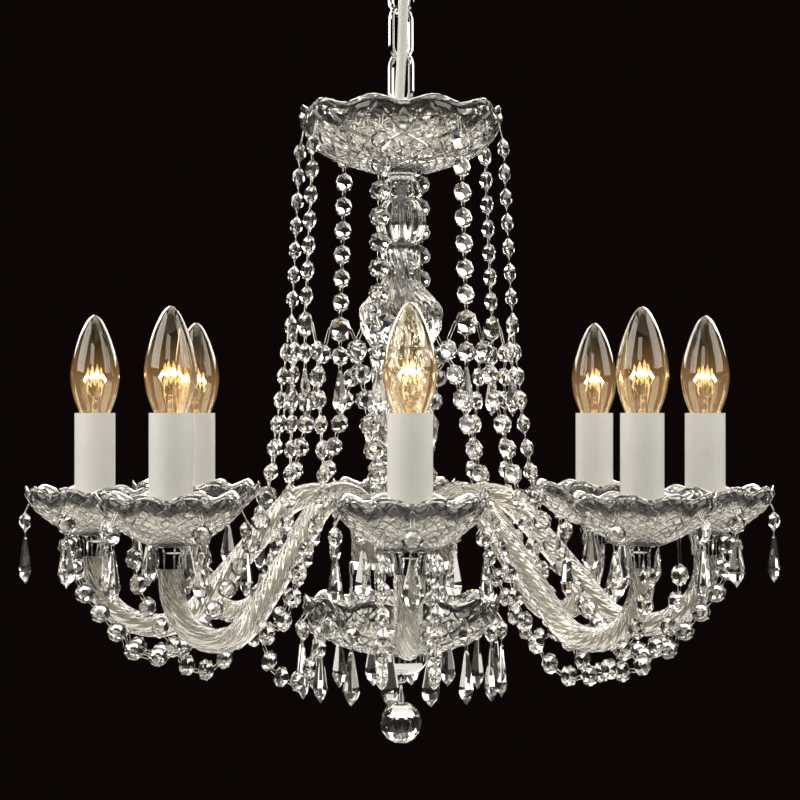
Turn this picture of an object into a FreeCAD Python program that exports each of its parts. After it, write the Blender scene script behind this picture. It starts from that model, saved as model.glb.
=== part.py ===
"""Eight-light cut-glass chandelier on a chain, in millimetres, +Z up.

The origin is on the ceiling, at the middle of the ceiling plate, and everything hangs below it.
The front arm points along -Y. Heights are stacked downwards from the ceiling: hook, chain, loop,
top dish, stem, hub. The arms grow from the hub, and carry the candle tubes.
"""
import FreeCAD, Part
import Sketcher
import math
import os
from FreeCAD import Matrix, Placement, Rotation, Vector

doc = FreeCAD.newDocument("Chandelier")

# Driving dimensions, all in millimetres, degrees or plain counts.
SIZES = [
    # ceiling fittings
    ("plate_thickness", 2.5), ("screw_spacing", 56), ("screw_hole_radius", 2.25),
    ("block_width", 24), ("block_depth", 15), ("block_height", 18), ("block_offset", 21),
    ("hook_wire_radius", 2.5), ("hook_bowl_radius", 8.5), ("hook_drop", 45.5), ("hook_opening", 55),
    ("hook_boss_radius", 7), ("hook_boss_height", 6),
    ("rose_radius", 56), ("rose_height", 60), ("rose_wall", 1.2), ("rose_neck_radius", 19.5),
    ("rose_neck_height", 7), ("rose_shoulder_radius", 44), ("rose_bead", 2.2), ("rose_fit", 0.3),
    # chain and loop
    ("link_inner_length", 32.9), ("link_wire_radius", 2.1), ("link_width", 24), ("chain_gap", 0.3),
    ("loop_ring_radius", 9.5), ("loop_wire_radius", 2), ("loop_base_radius", 8.5),
    ("loop_base_height", 13.5), ("rod_radius", 5), ("rod_bore_radius", 3.6), ("rod_fit", 0.05),
    ("cable_radius", 3.4), ("cap_radius", 23), ("cap_height", 15), ("cap_rim_height", 4),
    ("cap_foot_radius", 16.5), ("cable_offset", 15), ("cable_side", 2.2), ("cable_fit", 0.3),
    # glass dishes
    ("dish_lobes", 10), ("lobe_depth", 2), ("top_dish_radius", 72), ("top_dish_depth", 44),
    ("lower_dish_radius", 70), ("lower_dish_depth", 39), ("dish_wall", 4), ("dish_foot_radius", 18),
    ("drip_radius", 50), ("drip_depth", 31), ("drip_wall", 3.4), ("drip_foot_radius", 13),
    ("dish_wave", 2.2),
    # stem glass on the rod
    ("stem_clearance", 0.6), ("washer_thickness", 1), ("washer_radius", 10),
    ("collar_radius", 16), ("collar_height", 7), ("tulip_radius", 15.6), ("tulip_height", 13),
    ("melon_radius", 17.8), ("melon_height", 31),
    ("bottle_neck_radius", 14.4), ("bottle_belly_radius", 30.4), ("bottle_height", 72),
    ("bell_radius", 26.6), ("bell_waist_radius", 20.4), ("bell_height", 76),
    ("foot_radius", 15.5), ("foot_height", 84),
    # hub
    ("hub_radius", 37), ("hub_height", 53), ("hub_wall", 1.5), ("hub_foot_radius", 13.5),
    ("lid_thickness", 3), ("hub_curve_height", 19), ("nut_radius", 9), ("nut_height", 7),
    ("end_cap_radius", 19), ("end_cap_height", 15), ("eye_radius", 3.4), ("eye_wire_radius", 1.1), ("ball_radius", 15),
    ("ball_shank", 9.5), ("ball_shank_radius", 3.2),
    # arms
    ("arm_count", 8), ("arm_radius", 8.4), ("arm_groove", 1.3), ("arm_strands", 5), ("twist_length", 115),
    ("arm_station", 12),
    ("arm_bore_radius", 4.4), ("arm_circle", 27), ("arm_reach", 218), ("arm_socket", 10),
    ("arch_rise", 23.5), ("arch_radius", 33), ("bend_radius", 43), ("bend_rise", 6),
    ("arm_end_rise", 19), ("ferrule_radius", 10.1), ("ferrule_height", 9), ("wire_radius", 2.6),
    ("arm_fit", 0.15),
    # candle
    ("cup_radius", 11.5), ("cup_height", 10), ("cup_skirt", 6), ("nipple_radius", 4.8), ("nipple_bore", 3.2),
    ("nipple_rise", 5),
    ("sleeve_radius", 14.5), ("sleeve_wall", 1.4), ("sleeve_height", 82), ("holder_radius", 12),
    ("holder_height", 73), ("bulb_radius", 17.5), ("bulb_height", 70), ("bulb_widest", 27),
    ("bulb_mouth_radius", 10.8), ("bulb_neck_radius", 8.6), ("screw_cap_radius", 6.9),
    ("screw_cap_height", 22), ("screw_cap_fit", 0.3),
    # trimmings
    ("bead_radius", 7.2), ("bead_thickness", 7.4), ("bead_pitch", 17.65), ("octagon_radius", 9.4),
    ("octagon_thickness", 8), ("pin_radius", 0.8), ("pin_gap", 0.15), ("strand_turn", -12.5),
    ("strand_top_circle", 74), ("strand_low_circle", 80.5), ("strand_beads", 7), ("strand_start", 29),
    ("branch_beads", 6), ("branch_circle", 96), ("branch_start", 18.5), ("swag_hole", 18),
    ("drop_length", 34), ("drop_width", 13.6), ("drop_point", 10), ("long_drop_length", 38),
    ("drip_drops", 5), ("base_drops", 16), ("base_turn", 15), ("branch_spread", 15),
    ("arm_side", 17),
]

sheet = doc.addObject("Spreadsheet::Sheet", "Sizes")
for row, (alias, value) in enumerate(SIZES, start=1):
    sheet.set("A%d" % row, alias)
    sheet.set("B%d" % row, str(value))
    sheet.setAlias("B%d" % row, alias)
doc.recompute()


class Dim:
    """A length that knows both its value and the sheet formula that gives it."""

    def __init__(self, value, formula):
        self.value = float(value)
        self.formula = formula

    def _with(self, other, sign, value):
        text = other.formula if isinstance(other, Dim) else repr(float(other))
        return Dim(value, "(%s %s %s)" % (self.formula, sign, text))

    def __add__(self, other):
        return self._with(other, "+", self.value + number(other))

    def __sub__(self, other):
        return self._with(other, "-", self.value - number(other))

    def __mul__(self, other):
        return self._with(other, "*", self.value * number(other))

    def __truediv__(self, other):
        return self._with(other, "/", self.value / number(other))

    def __neg__(self):
        return Dim(-self.value, "(0 - %s)" % self.formula)


def number(length):
    """The plain number of a length."""
    return length.value if isinstance(length, Dim) else float(length)


def size(alias):
    """A driving dimension of the sheet."""
    return Dim(sheet.get(alias), "Sizes." + alias)


def mm(alias):
    """The value of a driving dimension."""
    return size(alias).value


ZERO = Dim(0, "0")

# ---------------------------------------------------------------- heights, from the ceiling down
contact_pitch = size("link_inner_length") - size("chain_gap")
hook_contact = -size("hook_drop")
last_contact = hook_contact - contact_pitch * 3
loop_centre = last_contact + size("chain_gap") - size("loop_ring_radius") + size("loop_wire_radius")
loop_base_top = loop_centre - size("loop_ring_radius")
cap_top = loop_base_top - size("loop_base_height")
top_dish_floor = cap_top - size("cap_height")
top_dish_base = top_dish_floor - size("dish_wall")
top_dish_rim = top_dish_base + size("top_dish_depth")
collar_base = top_dish_base - size("collar_height")
tulip_base = collar_base - size("tulip_height")
melon_base = tulip_base - size("washer_thickness") - size("melon_height")
bottle_base = melon_base - size("washer_thickness") - size("bottle_height")
bell_base = bottle_base - size("washer_thickness") - size("bell_height")
hub_top = bell_base - size("washer_thickness") - size("foot_height")
lower_dish_floor = hub_top - size("hub_height")
lower_dish_base = lower_dish_floor - size("dish_wall")
lower_dish_rim = lower_dish_base + size("lower_dish_depth")
end_cap_base = lower_dish_base - size("end_cap_height")
eye_centre = end_cap_base - size("eye_radius") + size("eye_wire_radius")
ball_ring_centre = eye_centre - size("eye_radius") * 2 + size("eye_wire_radius") * 2 + size("chain_gap")
ball_top = ball_ring_centre - size("eye_radius") - size("ball_shank")
ball_centre = ball_top - size("ball_radius")
arm_end = hub_top + size("arm_end_rise")
cup_top = arm_end + size("cup_height")
drip_rim = cup_top + size("drip_depth")
drip_floor = cup_top + size("drip_wall")
candle_top = drip_floor + size("sleeve_height")
holder_top = drip_floor + size("holder_height")


# ---------------------------------------------------------------- helpers for sketched bodies
def origin_plane(body, role):
    """One of the body's own origin planes."""
    for feature in body.Origin.OriginFeatures:
        if feature.Role == role:
            return feature
    raise ValueError(role)


def new_body(label, height=None):
    """A body named for its piece, with its own origin at the height given."""
    body = doc.addObject("PartDesign::Body", label)
    body.Label = label
    if height is not None:
        body.setExpression("Placement.Base.z", height.formula)
    return body


def new_sketch(body, name, role="XZ_Plane"):
    """A sketch on one of the body's origin planes."""
    sketch = body.newObject("Sketcher::SketchObject", name)
    sketch.AttachmentSupport = [(origin_plane(body, role), "")]
    sketch.MapMode = "FlatFace"
    return sketch


def bind(sketch, constraint, formula=None):
    """Add a constraint and tie it to the sheet."""
    index = sketch.addConstraint(constraint)
    if formula is not None:
        sketch.setExpression("Constraints[%d]" % index, formula)


def arc_middle(start, end, radius):
    """The middle of an arc from start to end; a positive radius bulges to the left of its way."""
    chord = end - start
    half = chord.Length / 2
    across = Vector(-chord.y, chord.x, 0).normalize()
    rise = abs(radius) - math.sqrt(max(radius * radius - half * half, 0))
    return (start + end) * 0.5 + across * math.copysign(rise, radius)


def draw_outline(sketch, outline):
    """A closed outline of lines and arcs.

    Each corner is (radius, height) or (radius, height, arc), and arc is the radius of the edge
    that leads to this corner, positive where it bulges to the left.
    """
    corners = [Vector(number(c[0]), number(c[1]), 0) for c in outline]
    count = len(corners)
    for index in range(count):
        start, end = corners[index], corners[(index + 1) % count]
        target = outline[(index + 1) % count]
        if len(target) == 3:
            middle = arc_middle(start, end, number(target[2]))
            sketch.addGeometry(Part.Arc(start, middle, end), False)
        else:
            sketch.addGeometry(Part.LineSegment(start, end), False)
    ends = []
    for index in range(count):
        target = outline[(index + 1) % count]
        bulges_left = len(target) == 3 and number(target[2]) > 0
        # an arc bulging to the left is stored from its end to its start
        ends.append((2, 1) if bulges_left else (1, 2))
    for index in range(count):
        following = (index + 1) % count
        sketch.addConstraint(Sketcher.Constraint("Coincident", index, ends[index][1],
                                                 following, ends[following][0]))
    for index in range(count):
        radius, height = outline[index][0], outline[index][1]
        point = ends[index][0]
        if abs(number(radius)) < 1e-9:
            sketch.addConstraint(Sketcher.Constraint("PointOnObject", index, point, -2))
        else:
            bind(sketch, Sketcher.Constraint("DistanceX", -1, 1, index, point, number(radius)),
                 radius.formula)
        if abs(number(height)) < 1e-9:
            sketch.addConstraint(Sketcher.Constraint("PointOnObject", index, point, -1))
        else:
            bind(sketch, Sketcher.Constraint("DistanceY", -1, 1, index, point, number(height)),
                 height.formula)
        target = outline[(index + 1) % count]
        if len(target) == 3:
            arc = target[2]
            text = arc.formula if arc.value > 0 else "(0 - %s)" % arc.formula
            bind(sketch, Sketcher.Constraint("Radius", index, abs(arc.value)), text)


def turned(label, outline, height=None):
    """A body turned about its own vertical axis from an outline of (radius, height) corners."""
    body = new_body(label, height)
    sketch = new_sketch(body, label + "_outline")
    draw_outline(sketch, outline)
    doc.recompute()
    revolution = body.newObject("PartDesign::Revolution", label + "_turn")
    revolution.Profile = sketch
    revolution.ReferenceAxis = (sketch, ["V_Axis"])
    revolution.Angle = 360
    sketch.Visibility = False
    return body


def drill(body, label, radius, x, y, through=True):
    """A vertical hole of the given radius through the body."""
    sketch = new_sketch(body, label, "XY_Plane")
    sketch.addGeometry(Part.Circle(Vector(number(x), number(y), 0), Vector(0, 0, 1), number(radius)), False)
    for kind, place in (("DistanceX", x), ("DistanceY", y)):
        if abs(number(place)) < 1e-9:
            continue
        bind(sketch, Sketcher.Constraint(kind, -1, 1, 0, 3, number(place)), place.formula)
    if abs(number(x)) < 1e-9:
        sketch.addConstraint(Sketcher.Constraint("PointOnObject", 0, 3, -2))
    if abs(number(y)) < 1e-9:
        sketch.addConstraint(Sketcher.Constraint("PointOnObject", 0, 3, -1))
    bind(sketch, Sketcher.Constraint("Radius", 0, number(radius)), radius.formula)
    doc.recompute()
    pocket = body.newObject("PartDesign::Pocket", label + "_cut")
    pocket.Profile = sketch
    pocket.Type = "ThroughAll"
    pocket.Midplane = True
    before = body.Shape.Volume
    doc.recompute()
    if body.Shape.Volume >= before:
        raise RuntimeError("%s cuts nothing" % label)
    return pocket


# ---------------------------------------------------------------- helpers for shaped features
def feature(label, shape, placement=None):
    """A document object that holds a shape made with Part's own functions."""
    item = doc.addObject("Part::Feature", label)
    item.Label = label
    item.Shape = shape
    if placement is not None:
        item.Placement = placement
    return item


def flat_face(corners):
    return Part.Face(Part.makePolygon(corners + [corners[0]]))


def is_flat(corners):
    """Whether four corners lie in one plane."""
    normal = (corners[1] - corners[0]).cross(corners[2] - corners[0])
    if normal.Length < 1e-9:
        return False
    return abs(normal.normalize().dot(corners[3] - corners[0])) < 1e-7


def band(lower, upper):
    """The faces between two rings of points; a ring of one point is a tip."""
    faces = []
    count = max(len(lower), len(upper))
    for index in range(count):
        following = (index + 1) % count
        if len(lower) == 1:
            faces.append(flat_face([lower[0], upper[following], upper[index]]))
            continue
        if len(upper) == 1:
            faces.append(flat_face([lower[index], lower[following], upper[0]]))
            continue
        corners = [lower[index], lower[following], upper[following], upper[index]]
        if is_flat(corners):
            faces.append(flat_face(corners))
        else:
            faces.append(flat_face(corners[:3]))
            faces.append(flat_face([corners[0], corners[2], corners[3]]))
    return faces


def facetted(rings, closed=False):
    """A solid with flat facets, skinned over a row of rings.

    An open row starts and ends in a tip or a flat ring. A closed row joins its last ring to its
    first, as a dish with a hole does.
    """
    faces = []
    for lower, upper in zip(rings, rings[1:]):
        faces += band(lower, upper)
    if closed:
        faces += band(rings[-1], rings[0])
    else:
        for ring in (rings[0], rings[-1]):
            if len(ring) > 1:
                faces.append(flat_face(ring))
    solid = Part.makeSolid(Part.makeShell(faces))
    if solid.Volume < 0:
        solid.reverse()
    return solid


def ring(count, radius, height, inner=None, turn=0.0, wave=0.0):
    """A ring of points round the axis; every other one may lie at another radius or height."""
    points = []
    for index in range(count):
        angle = math.radians(turn) + 2 * math.pi * index / count
        odd = index % 2 == 1
        reach = radius if inner is None or not odd else inner
        rise = height + (-wave if odd else wave)
        points.append(Vector(reach * math.cos(angle), reach * math.sin(angle), rise))
    return points


def pipe(edges, radius):
    """A round bar along a row of lines and arcs."""
    path = Part.Wire(edges)
    start = path.Edges[0].valueAt(path.Edges[0].FirstParameter)
    heading = path.Edges[0].tangentAt(path.Edges[0].FirstParameter)
    section = Part.Wire([Part.makeCircle(radius, start, heading)])
    return path.makePipeShell([section], True, False)


def polar(radius, bearing, height):
    """A point at a bearing from the front, positive to the right as seen from the front."""
    angle = math.radians(bearing)
    return Vector(radius * math.sin(angle), -radius * math.cos(angle), height)


def about_axis(bearing):
    """The turn that takes +X to a bearing."""
    return Placement(Vector(0, 0, 0), Rotation(Vector(0, 0, 1), bearing - 90))


def copies(label, shape, placements):
    """One node of several separate solids of the same shape."""
    placed = [shape.transformed(place.toMatrix(), True) for place in placements]
    return feature(label, Part.makeCompound(placed))


arm_bearings = [360.0 / mm("arm_count") * index for index in range(int(mm("arm_count")))]

# ---------------------------------------------------------------- ceiling plate, hook, block
# The rose pushes on over the edge of the plate.
plate_radius = size("rose_radius") - size("rose_bead") - size("rose_wall") - size("rose_fit")
plate = turned("ceiling_plate", [
    (ZERO, ZERO),
    (plate_radius, ZERO),
    (plate_radius, size("plate_thickness")),
    (ZERO, size("plate_thickness")),
], -size("plate_thickness"))
doc.recompute()
for side, name in ((1, "right_hole"), (-1, "left_hole")):
    place = size("screw_spacing") / 2 if side > 0 else -(size("screw_spacing") / 2)
    drill(plate, name, size("screw_hole_radius"), place, ZERO)


def ceiling_hook():
    """A hook of round wire that hangs from a boss on the plate; its bowl holds the first link."""
    wire_radius = mm("hook_wire_radius")
    bowl = mm("hook_bowl_radius")
    low = -mm("hook_drop") - wire_radius
    centre_z = low + bowl
    top = -mm("plate_thickness") - mm("hook_boss_height") + 1
    opening = math.radians(mm("hook_opening"))
    neck_z = centre_z + bowl + 4
    centre = Vector(0, 0, centre_z)
    entry = centre + Vector(-bowl * math.cos(opening), 0, bowl * math.sin(opening))
    tip_angle = math.radians(mm("hook_opening") - 25)
    tip = centre + Vector(bowl * math.cos(tip_angle), 0, bowl * math.sin(tip_angle))
    mid = centre + Vector(0, 0, -bowl)
    slope = Vector(math.sin(opening), 0, math.cos(opening))
    reach = -entry.x / slope.x
    bend_point = entry + slope * reach
    cut = min(reach * 0.6, (top - bend_point.z) * 0.6)
    leave = bend_point - slope * cut
    join = bend_point + Vector(0, 0, cut)
    turn = math.radians(90 - mm("hook_opening")) / 2
    arc_centre_dist = cut / math.tan(turn)
    side = Vector(0, 0, 1).cross(Vector(0, 1, 0))
    middle_dir = (leave + join) * 0.5
    bulge = arc_centre_dist / math.cos(turn) - arc_centre_dist
    middle = bend_point + (middle_dir - bend_point).normalize() * bulge
    edges = [
        Part.LineSegment(Vector(0, 0, top), join).toShape(),
        Part.Arc(join, middle, leave).toShape(),
        Part.LineSegment(leave, entry).toShape(),
        Part.Arc(entry, mid, tip).toShape(),
    ]
    bar = pipe(edges, wire_radius)
    boss = Part.makeCone(mm("hook_boss_radius"), mm("hook_boss_radius") - 1.5, mm("hook_boss_height"),
                         Vector(0, 0, -mm("plate_thickness")), Vector(0, 0, -1))
    return bar.fuse(boss).removeSplitter()


HOOK_BEARING = 45
feature("ceiling_hook", ceiling_hook(), Placement(Vector(), Rotation(Vector(0, 0, 1), HOOK_BEARING)))

block = doc.addObject("Part::Box", "terminal_block")
block.Label = "terminal_block"
block.setExpression("Length", "Sizes.block_width")
block.setExpression("Width", "Sizes.block_depth")
block.setExpression("Height", "Sizes.block_height")
block.setExpression("Placement.Base.x", "0 - Sizes.block_width / 2")
block.setExpression("Placement.Base.y", "0 - Sizes.block_offset - Sizes.block_depth / 2")
block.setExpression("Placement.Base.z", "0 - Sizes.plate_thickness - Sizes.block_height")

# The rose is a spun cup: a rolled bead at the ceiling, a shoulder, and a neck round the chain.
rose_top = size("rose_height")
neck_in = size("rose_neck_radius") - size("rose_wall")
turned("ceiling_rose", [
    (neck_in, ZERO),
    (size("rose_neck_radius"), ZERO),
    (size("rose_neck_radius"), size("rose_neck_height")),
    (size("rose_shoulder_radius"), rose_top * 0.52, size("rose_radius") * -0.9),
    (size("rose_radius") - size("rose_bead"), rose_top - size("rose_bead") * 2, size("rose_radius") * 1.6),
    (size("rose_radius"), rose_top - size("rose_bead") * 2),
    (size("rose_radius"), rose_top),
    (size("rose_radius") - size("rose_bead") - size("rose_wall"), rose_top),
    (size("rose_radius") - size("rose_bead") - size("rose_wall"), rose_top - size("rose_bead") * 2),
    (size("rose_shoulder_radius") - size("rose_wall"), rose_top * 0.52 + size("rose_wall"),
     size("rose_radius") * -1.6),
    (neck_in, size("rose_neck_height") + size("rose_wall"), size("rose_radius") * 0.9),
], -size("rose_height"))

# ---------------------------------------------------------------- chain


def chain_link(label, top_contact, bearing):
    """An oval welded link: a round wire piped along a racetrack."""
    body = new_body(label)
    inner = size("link_inner_length")
    wire_radius = size("link_wire_radius")
    bend = size("link_width") / 2 - wire_radius
    straight = inner / 2 - bend + wire_radius
    path = new_sketch(body, label + "_path")
    b, h = bend.value, straight.value
    path.addGeometry(Part.LineSegment(Vector(b, -h, 0), Vector(b, h, 0)), False)
    path.addGeometry(Part.Arc(Vector(b, h, 0), Vector(0, h + b, 0), Vector(-b, h, 0)), False)
    path.addGeometry(Part.LineSegment(Vector(-b, h, 0), Vector(-b, -h, 0)), False)
    path.addGeometry(Part.Arc(Vector(-b, -h, 0), Vector(0, -h - b, 0), Vector(b, -h, 0)), False)
    for index in range(4):
        path.addConstraint(Sketcher.Constraint("Tangent", index, 2, (index + 1) % 4, 1))
    path.addConstraint(Sketcher.Constraint("Symmetric", 0, 1, 0, 2, -1))
    bind(path, Sketcher.Constraint("DistanceX", -1, 1, 0, 1, b), bend.formula)
    bind(path, Sketcher.Constraint("DistanceY", 0, 1, 0, 2, 2 * h), (straight * 2).formula)
    path.addConstraint(Sketcher.Constraint("PointOnObject", 1, 3, -2))
    path.addConstraint(Sketcher.Constraint("PointOnObject", 3, 3, -2))
    section = new_sketch(body, label + "_wire", "XY_Plane")
    section.addGeometry(Part.Circle(Vector(b, 0, 0), Vector(0, 0, 1), wire_radius.value), False)
    section.addConstraint(Sketcher.Constraint("PointOnObject", 0, 3, -1))
    bind(section, Sketcher.Constraint("DistanceX", -1, 1, 0, 3, b), bend.formula)
    bind(section, Sketcher.Constraint("Radius", 0, wire_radius.value), wire_radius.formula)
    doc.recompute()
    sweep = body.newObject("PartDesign::AdditivePipe", label + "_sweep")
    sweep.Profile = section
    sweep.Spine = (path, ["Edge1", "Edge2", "Edge3", "Edge4"])
    body.Placement = Placement(Vector(), Rotation(Vector(0, 0, 1), bearing))
    centre = top_contact + size("chain_gap") - inner / 2
    body.setExpression("Placement.Base.z", centre.formula)
    return body


for index, bearing in enumerate((-45, 45, -45)):
    chain_link("chain_link_%d" % (index + 1), hook_contact - contact_pitch * index, bearing)

# ---------------------------------------------------------------- loop, rod, cap in the top dish


def hanging_loop():
    """The loop that closes on the last link, with a socket for the rod under it."""
    loop = Part.makeTorus(mm("loop_ring_radius"), mm("loop_wire_radius"),
                          Vector(0, 0, loop_centre.value), Vector(0, 1, 0))
    base_z = cap_top.value
    base = Part.makeCylinder(mm("loop_base_radius"), mm("loop_base_height"), Vector(0, 0, base_z))
    base = base.makeChamfer(1.5, [edge for edge in base.Edges
                                  if abs(edge.BoundBox.ZMin - base_z - mm("loop_base_height")) < 1e-6
                                  and edge.BoundBox.DiagonalLength > 1])
    socket = Part.makeCylinder(mm("rod_radius") + mm("rod_fit"), mm("loop_base_height") - 3,
                               Vector(0, 0, base_z))
    return loop.fuse(base).cut(socket).removeSplitter()


feature("top_loop", hanging_loop(), Placement(Vector(), Rotation(Vector(0, 0, 1), 45)))

rod_top = cap_top + size("loop_base_height") - 3
rod_bottom = lower_dish_base - size("nut_height")
turned("centre_rod", [
    (size("rod_bore_radius"), ZERO),
    (size("rod_radius"), ZERO),
    (size("rod_radius"), rod_top - rod_bottom),
    (size("rod_bore_radius"), rod_top - rod_bottom),
], rod_bottom)

rod_hole = size("rod_radius") + size("stem_clearance")
cap = turned("top_cap", [
    (rod_hole, ZERO),
    (size("cap_foot_radius"), ZERO),
    (size("cap_radius"), size("cap_rim_height")),
    (size("loop_base_radius") + 1, size("cap_height"), size("cap_radius") * -1.05),
    (rod_hole, size("cap_height")),
], top_dish_floor)
doc.recompute()
drill(cap, "cable_hole", size("cable_radius") + size("cable_fit"), -size("cable_side"), -size("cable_offset"))


def rounded_route(points):
    """Straight runs joined by arcs that meet them smoothly, each as wide as its runs allow."""
    edges = []
    leave = points[0]
    for before, corner, after in zip(points, points[1:], points[2:]):
        back = (before - corner)
        ahead = (after - corner)
        shorter = min(back.Length, ahead.Length)
        back.normalize()
        ahead.normalize()
        cut = 0.45 * shorter
        half_turn = (math.pi - back.getAngle(ahead)) / 2
        radius = cut / math.tan(half_turn)
        join = corner + back * cut
        depart = corner + ahead * cut
        inward = (back + ahead).normalize()
        middle = corner + inward * (radius / math.cos(half_turn) - radius)
        edges.append(Part.LineSegment(leave, join).toShape())
        edges.append(Part.Arc(join, middle, depart).toShape())
        print("bend radius", round(radius, 1), "at", [round(v, 1) for v in corner])
        leave = depart
    edges.append(Part.LineSegment(leave, points[-1]).toShape())
    return edges


block_base = -mm("plate_thickness") - mm("block_height")
cable_end = top_dish_floor.value + mm("cap_rim_height")
cable_route = [
    Vector(0, -16, block_base - mm("chain_gap")),
    Vector(0.4, -14.2, -45),
    Vector(1.4, -12.5, -70),
    Vector(0.6, -10.4, -106),
    Vector(-1.6, -11.2, -143),
    Vector(-mm("cable_side"), -14.8, -165),
    Vector(-mm("cable_side"), -mm("cable_offset"), cable_end),
]
cable_edges = rounded_route(cable_route)
cable = pipe(cable_edges, mm("cable_radius"))
cable_length = sum(edge.Length for edge in cable_edges)
print("cable length", round(cable_length, 1), "volume share",
      round(cable.Volume / (cable_length * math.pi * mm("cable_radius") ** 2), 4))
feature("supply_cable", cable)

# ---------------------------------------------------------------- glass dishes


def scalloped(profile, depth, wave):
    """A pressed-glass dish: rings with lobes, joined round its wall.

    The profile goes from the hole outwards under the dish and back above it, as
    (radius, height, share of the lobes) rows.
    """
    count = int(2 * mm("dish_lobes"))
    rings = []
    for radius, height, share in profile:
        rings.append(ring(count, radius, height, radius - depth * share, wave=wave * share))
    return facetted(rings, closed=True)


def wide_dish(radius, depth, wall, foot, hole):
    """The large dish on the rod: a flat foot, a shallow floor and a steep scalloped wall."""
    return scalloped([
        (hole, 0, 0),
        (foot, 0, 0),
        (radius * 0.565, depth * 0.18, 0.3),
        (radius * 0.778, depth * 0.355, 0.6),
        (radius * 0.972, depth * 0.636, 1),
        (radius, depth, 1),
        (radius - wall * 0.7, depth, 1),
        (radius * 0.965 - wall, depth * 0.66, 1),
        (radius * 0.76 - wall * 0.5, depth * 0.37 + wall * 0.8, 0.6),
        (radius * 0.55 - wall * 0.3, depth * 0.18 + wall, 0.3),
        (foot - 0.5, wall, 0),
        (hole, wall, 0),
    ], mm("lobe_depth"), mm("dish_wave"))


def drip_bowl():
    """The small dish under a candle."""
    radius = mm("drip_radius")
    depth = mm("drip_depth")
    wall = mm("drip_wall")
    foot = mm("drip_foot_radius")
    hole = mm("nipple_radius") + 0.4
    return scalloped([
        (hole, 0, 0),
        (foot, 0, 0),
        (radius * 0.64, depth * 0.32, 0.4),
        (radius * 0.89, depth * 0.68, 0.9),
        (radius, depth, 1),
        (radius - wall * 0.7, depth, 1),
        (radius * 0.79, depth * 0.6, 0.8),
        (foot + 3, wall, 0),
        (hole, wall, 0),
    ], mm("lobe_depth"), mm("dish_wave") * 0.8)


top_glass = wide_dish(mm("top_dish_radius"), mm("top_dish_depth"), mm("dish_wall"),
                      mm("dish_foot_radius"), rod_hole.value)
feature("top_dish", top_glass, Placement(Vector(0, 0, top_dish_base.value), Rotation()))
lower_glass = wide_dish(mm("lower_dish_radius"), mm("lower_dish_depth"), mm("dish_wall"),
                        mm("dish_foot_radius"), rod_hole.value)
feature("lower_dish", lower_glass, Placement(Vector(0, 0, lower_dish_base.value), Rotation()))

# ---------------------------------------------------------------- stem, threaded on the rod
turned("dish_collar", [
    (rod_hole, ZERO),
    (size("collar_radius") * 0.78, ZERO),
    (size("collar_radius") * 0.78, size("collar_height") * 0.35),
    (size("collar_radius"), size("collar_height") * 0.6),
    (size("collar_radius"), size("collar_height")),
    (rod_hole, size("collar_height")),
], collar_base)

turned("stem_tulip", [
    (rod_hole, ZERO),
    (size("tulip_radius") * 0.8, ZERO),
    (size("tulip_radius"), size("tulip_height") * 0.3, size("tulip_height") * -0.4),
    (size("tulip_radius") * 0.77, size("tulip_height"), size("tulip_height") * 1.2),
    (rod_hole, size("tulip_height")),
], tulip_base)

turned("stem_melon", [
    (rod_hole, ZERO),
    (size("melon_radius") * 0.6, ZERO),
    (size("melon_radius"), size("melon_height") * 0.5, size("melon_radius") * -1),
    (size("melon_radius") * 0.6, size("melon_height"), size("melon_radius") * -1),
    (rod_hole, size("melon_height")),
], melon_base)

turned("stem_bottle", [
    (rod_hole, ZERO),
    (size("bottle_belly_radius") * 0.72, ZERO),
    (size("bottle_belly_radius"), size("bottle_height") * 0.31, size("bottle_belly_radius") * -0.65),
    (size("bottle_belly_radius") * 0.82, size("bottle_height") * 0.47, size("bottle_belly_radius") * -0.4),
    (size("bottle_neck_radius"), size("bottle_height") * 0.64, size("bottle_neck_radius") * 1),
    (size("bottle_neck_radius") * 0.95, size("bottle_height") * 0.9),
    (size("bottle_neck_radius") * 1.12, size("bottle_height")),
    (rod_hole, size("bottle_height")),
], bottle_base)

turned("stem_bell", [
    (rod_hole, ZERO),
    (size("bell_radius") * 0.7, ZERO),
    (size("bell_radius"), size("bell_height") * 0.24, size("bell_radius") * -0.5),
    (size("bell_waist_radius"), size("bell_height") * 0.52, size("bell_radius") * 0.9),
    (size("bell_radius") * 0.85, size("bell_height"), size("bell_height") * 1.6),
    (rod_hole, size("bell_height")),
], bell_base)

turned("stem_foot", [
    (rod_hole, ZERO),
    (size("foot_radius"), ZERO),
    (size("foot_radius"), size("foot_height") * 0.06),
    (size("foot_radius") * 0.75, size("foot_height") * 0.14, size("foot_height") * 0.1),
    (size("foot_radius"), size("foot_height") * 0.55, size("foot_height") * -0.45),
    (size("foot_radius") * 0.8, size("foot_height") * 0.92, size("foot_height") * -0.8),
    (size("foot_radius") * 1.1, size("foot_height")),
    (rod_hole, size("foot_height")),
], hub_top)


def round_plate(outer, inner, thickness, height):
    """A flat ring on the axis."""
    disc = Part.makeCylinder(outer, thickness, Vector(0, 0, height))
    return disc.cut(Part.makeCylinder(inner, thickness, Vector(0, 0, height)))


washer = round_plate(mm("washer_radius"), rod_hole.value, mm("washer_thickness"), 0)
washer_heights = [(level - size("washer_thickness")).value
                  for level in (tulip_base, melon_base, bottle_base, bell_base)]
copies("stem_washers", washer, [Placement(Vector(0, 0, z), Rotation()) for z in washer_heights])

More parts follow.
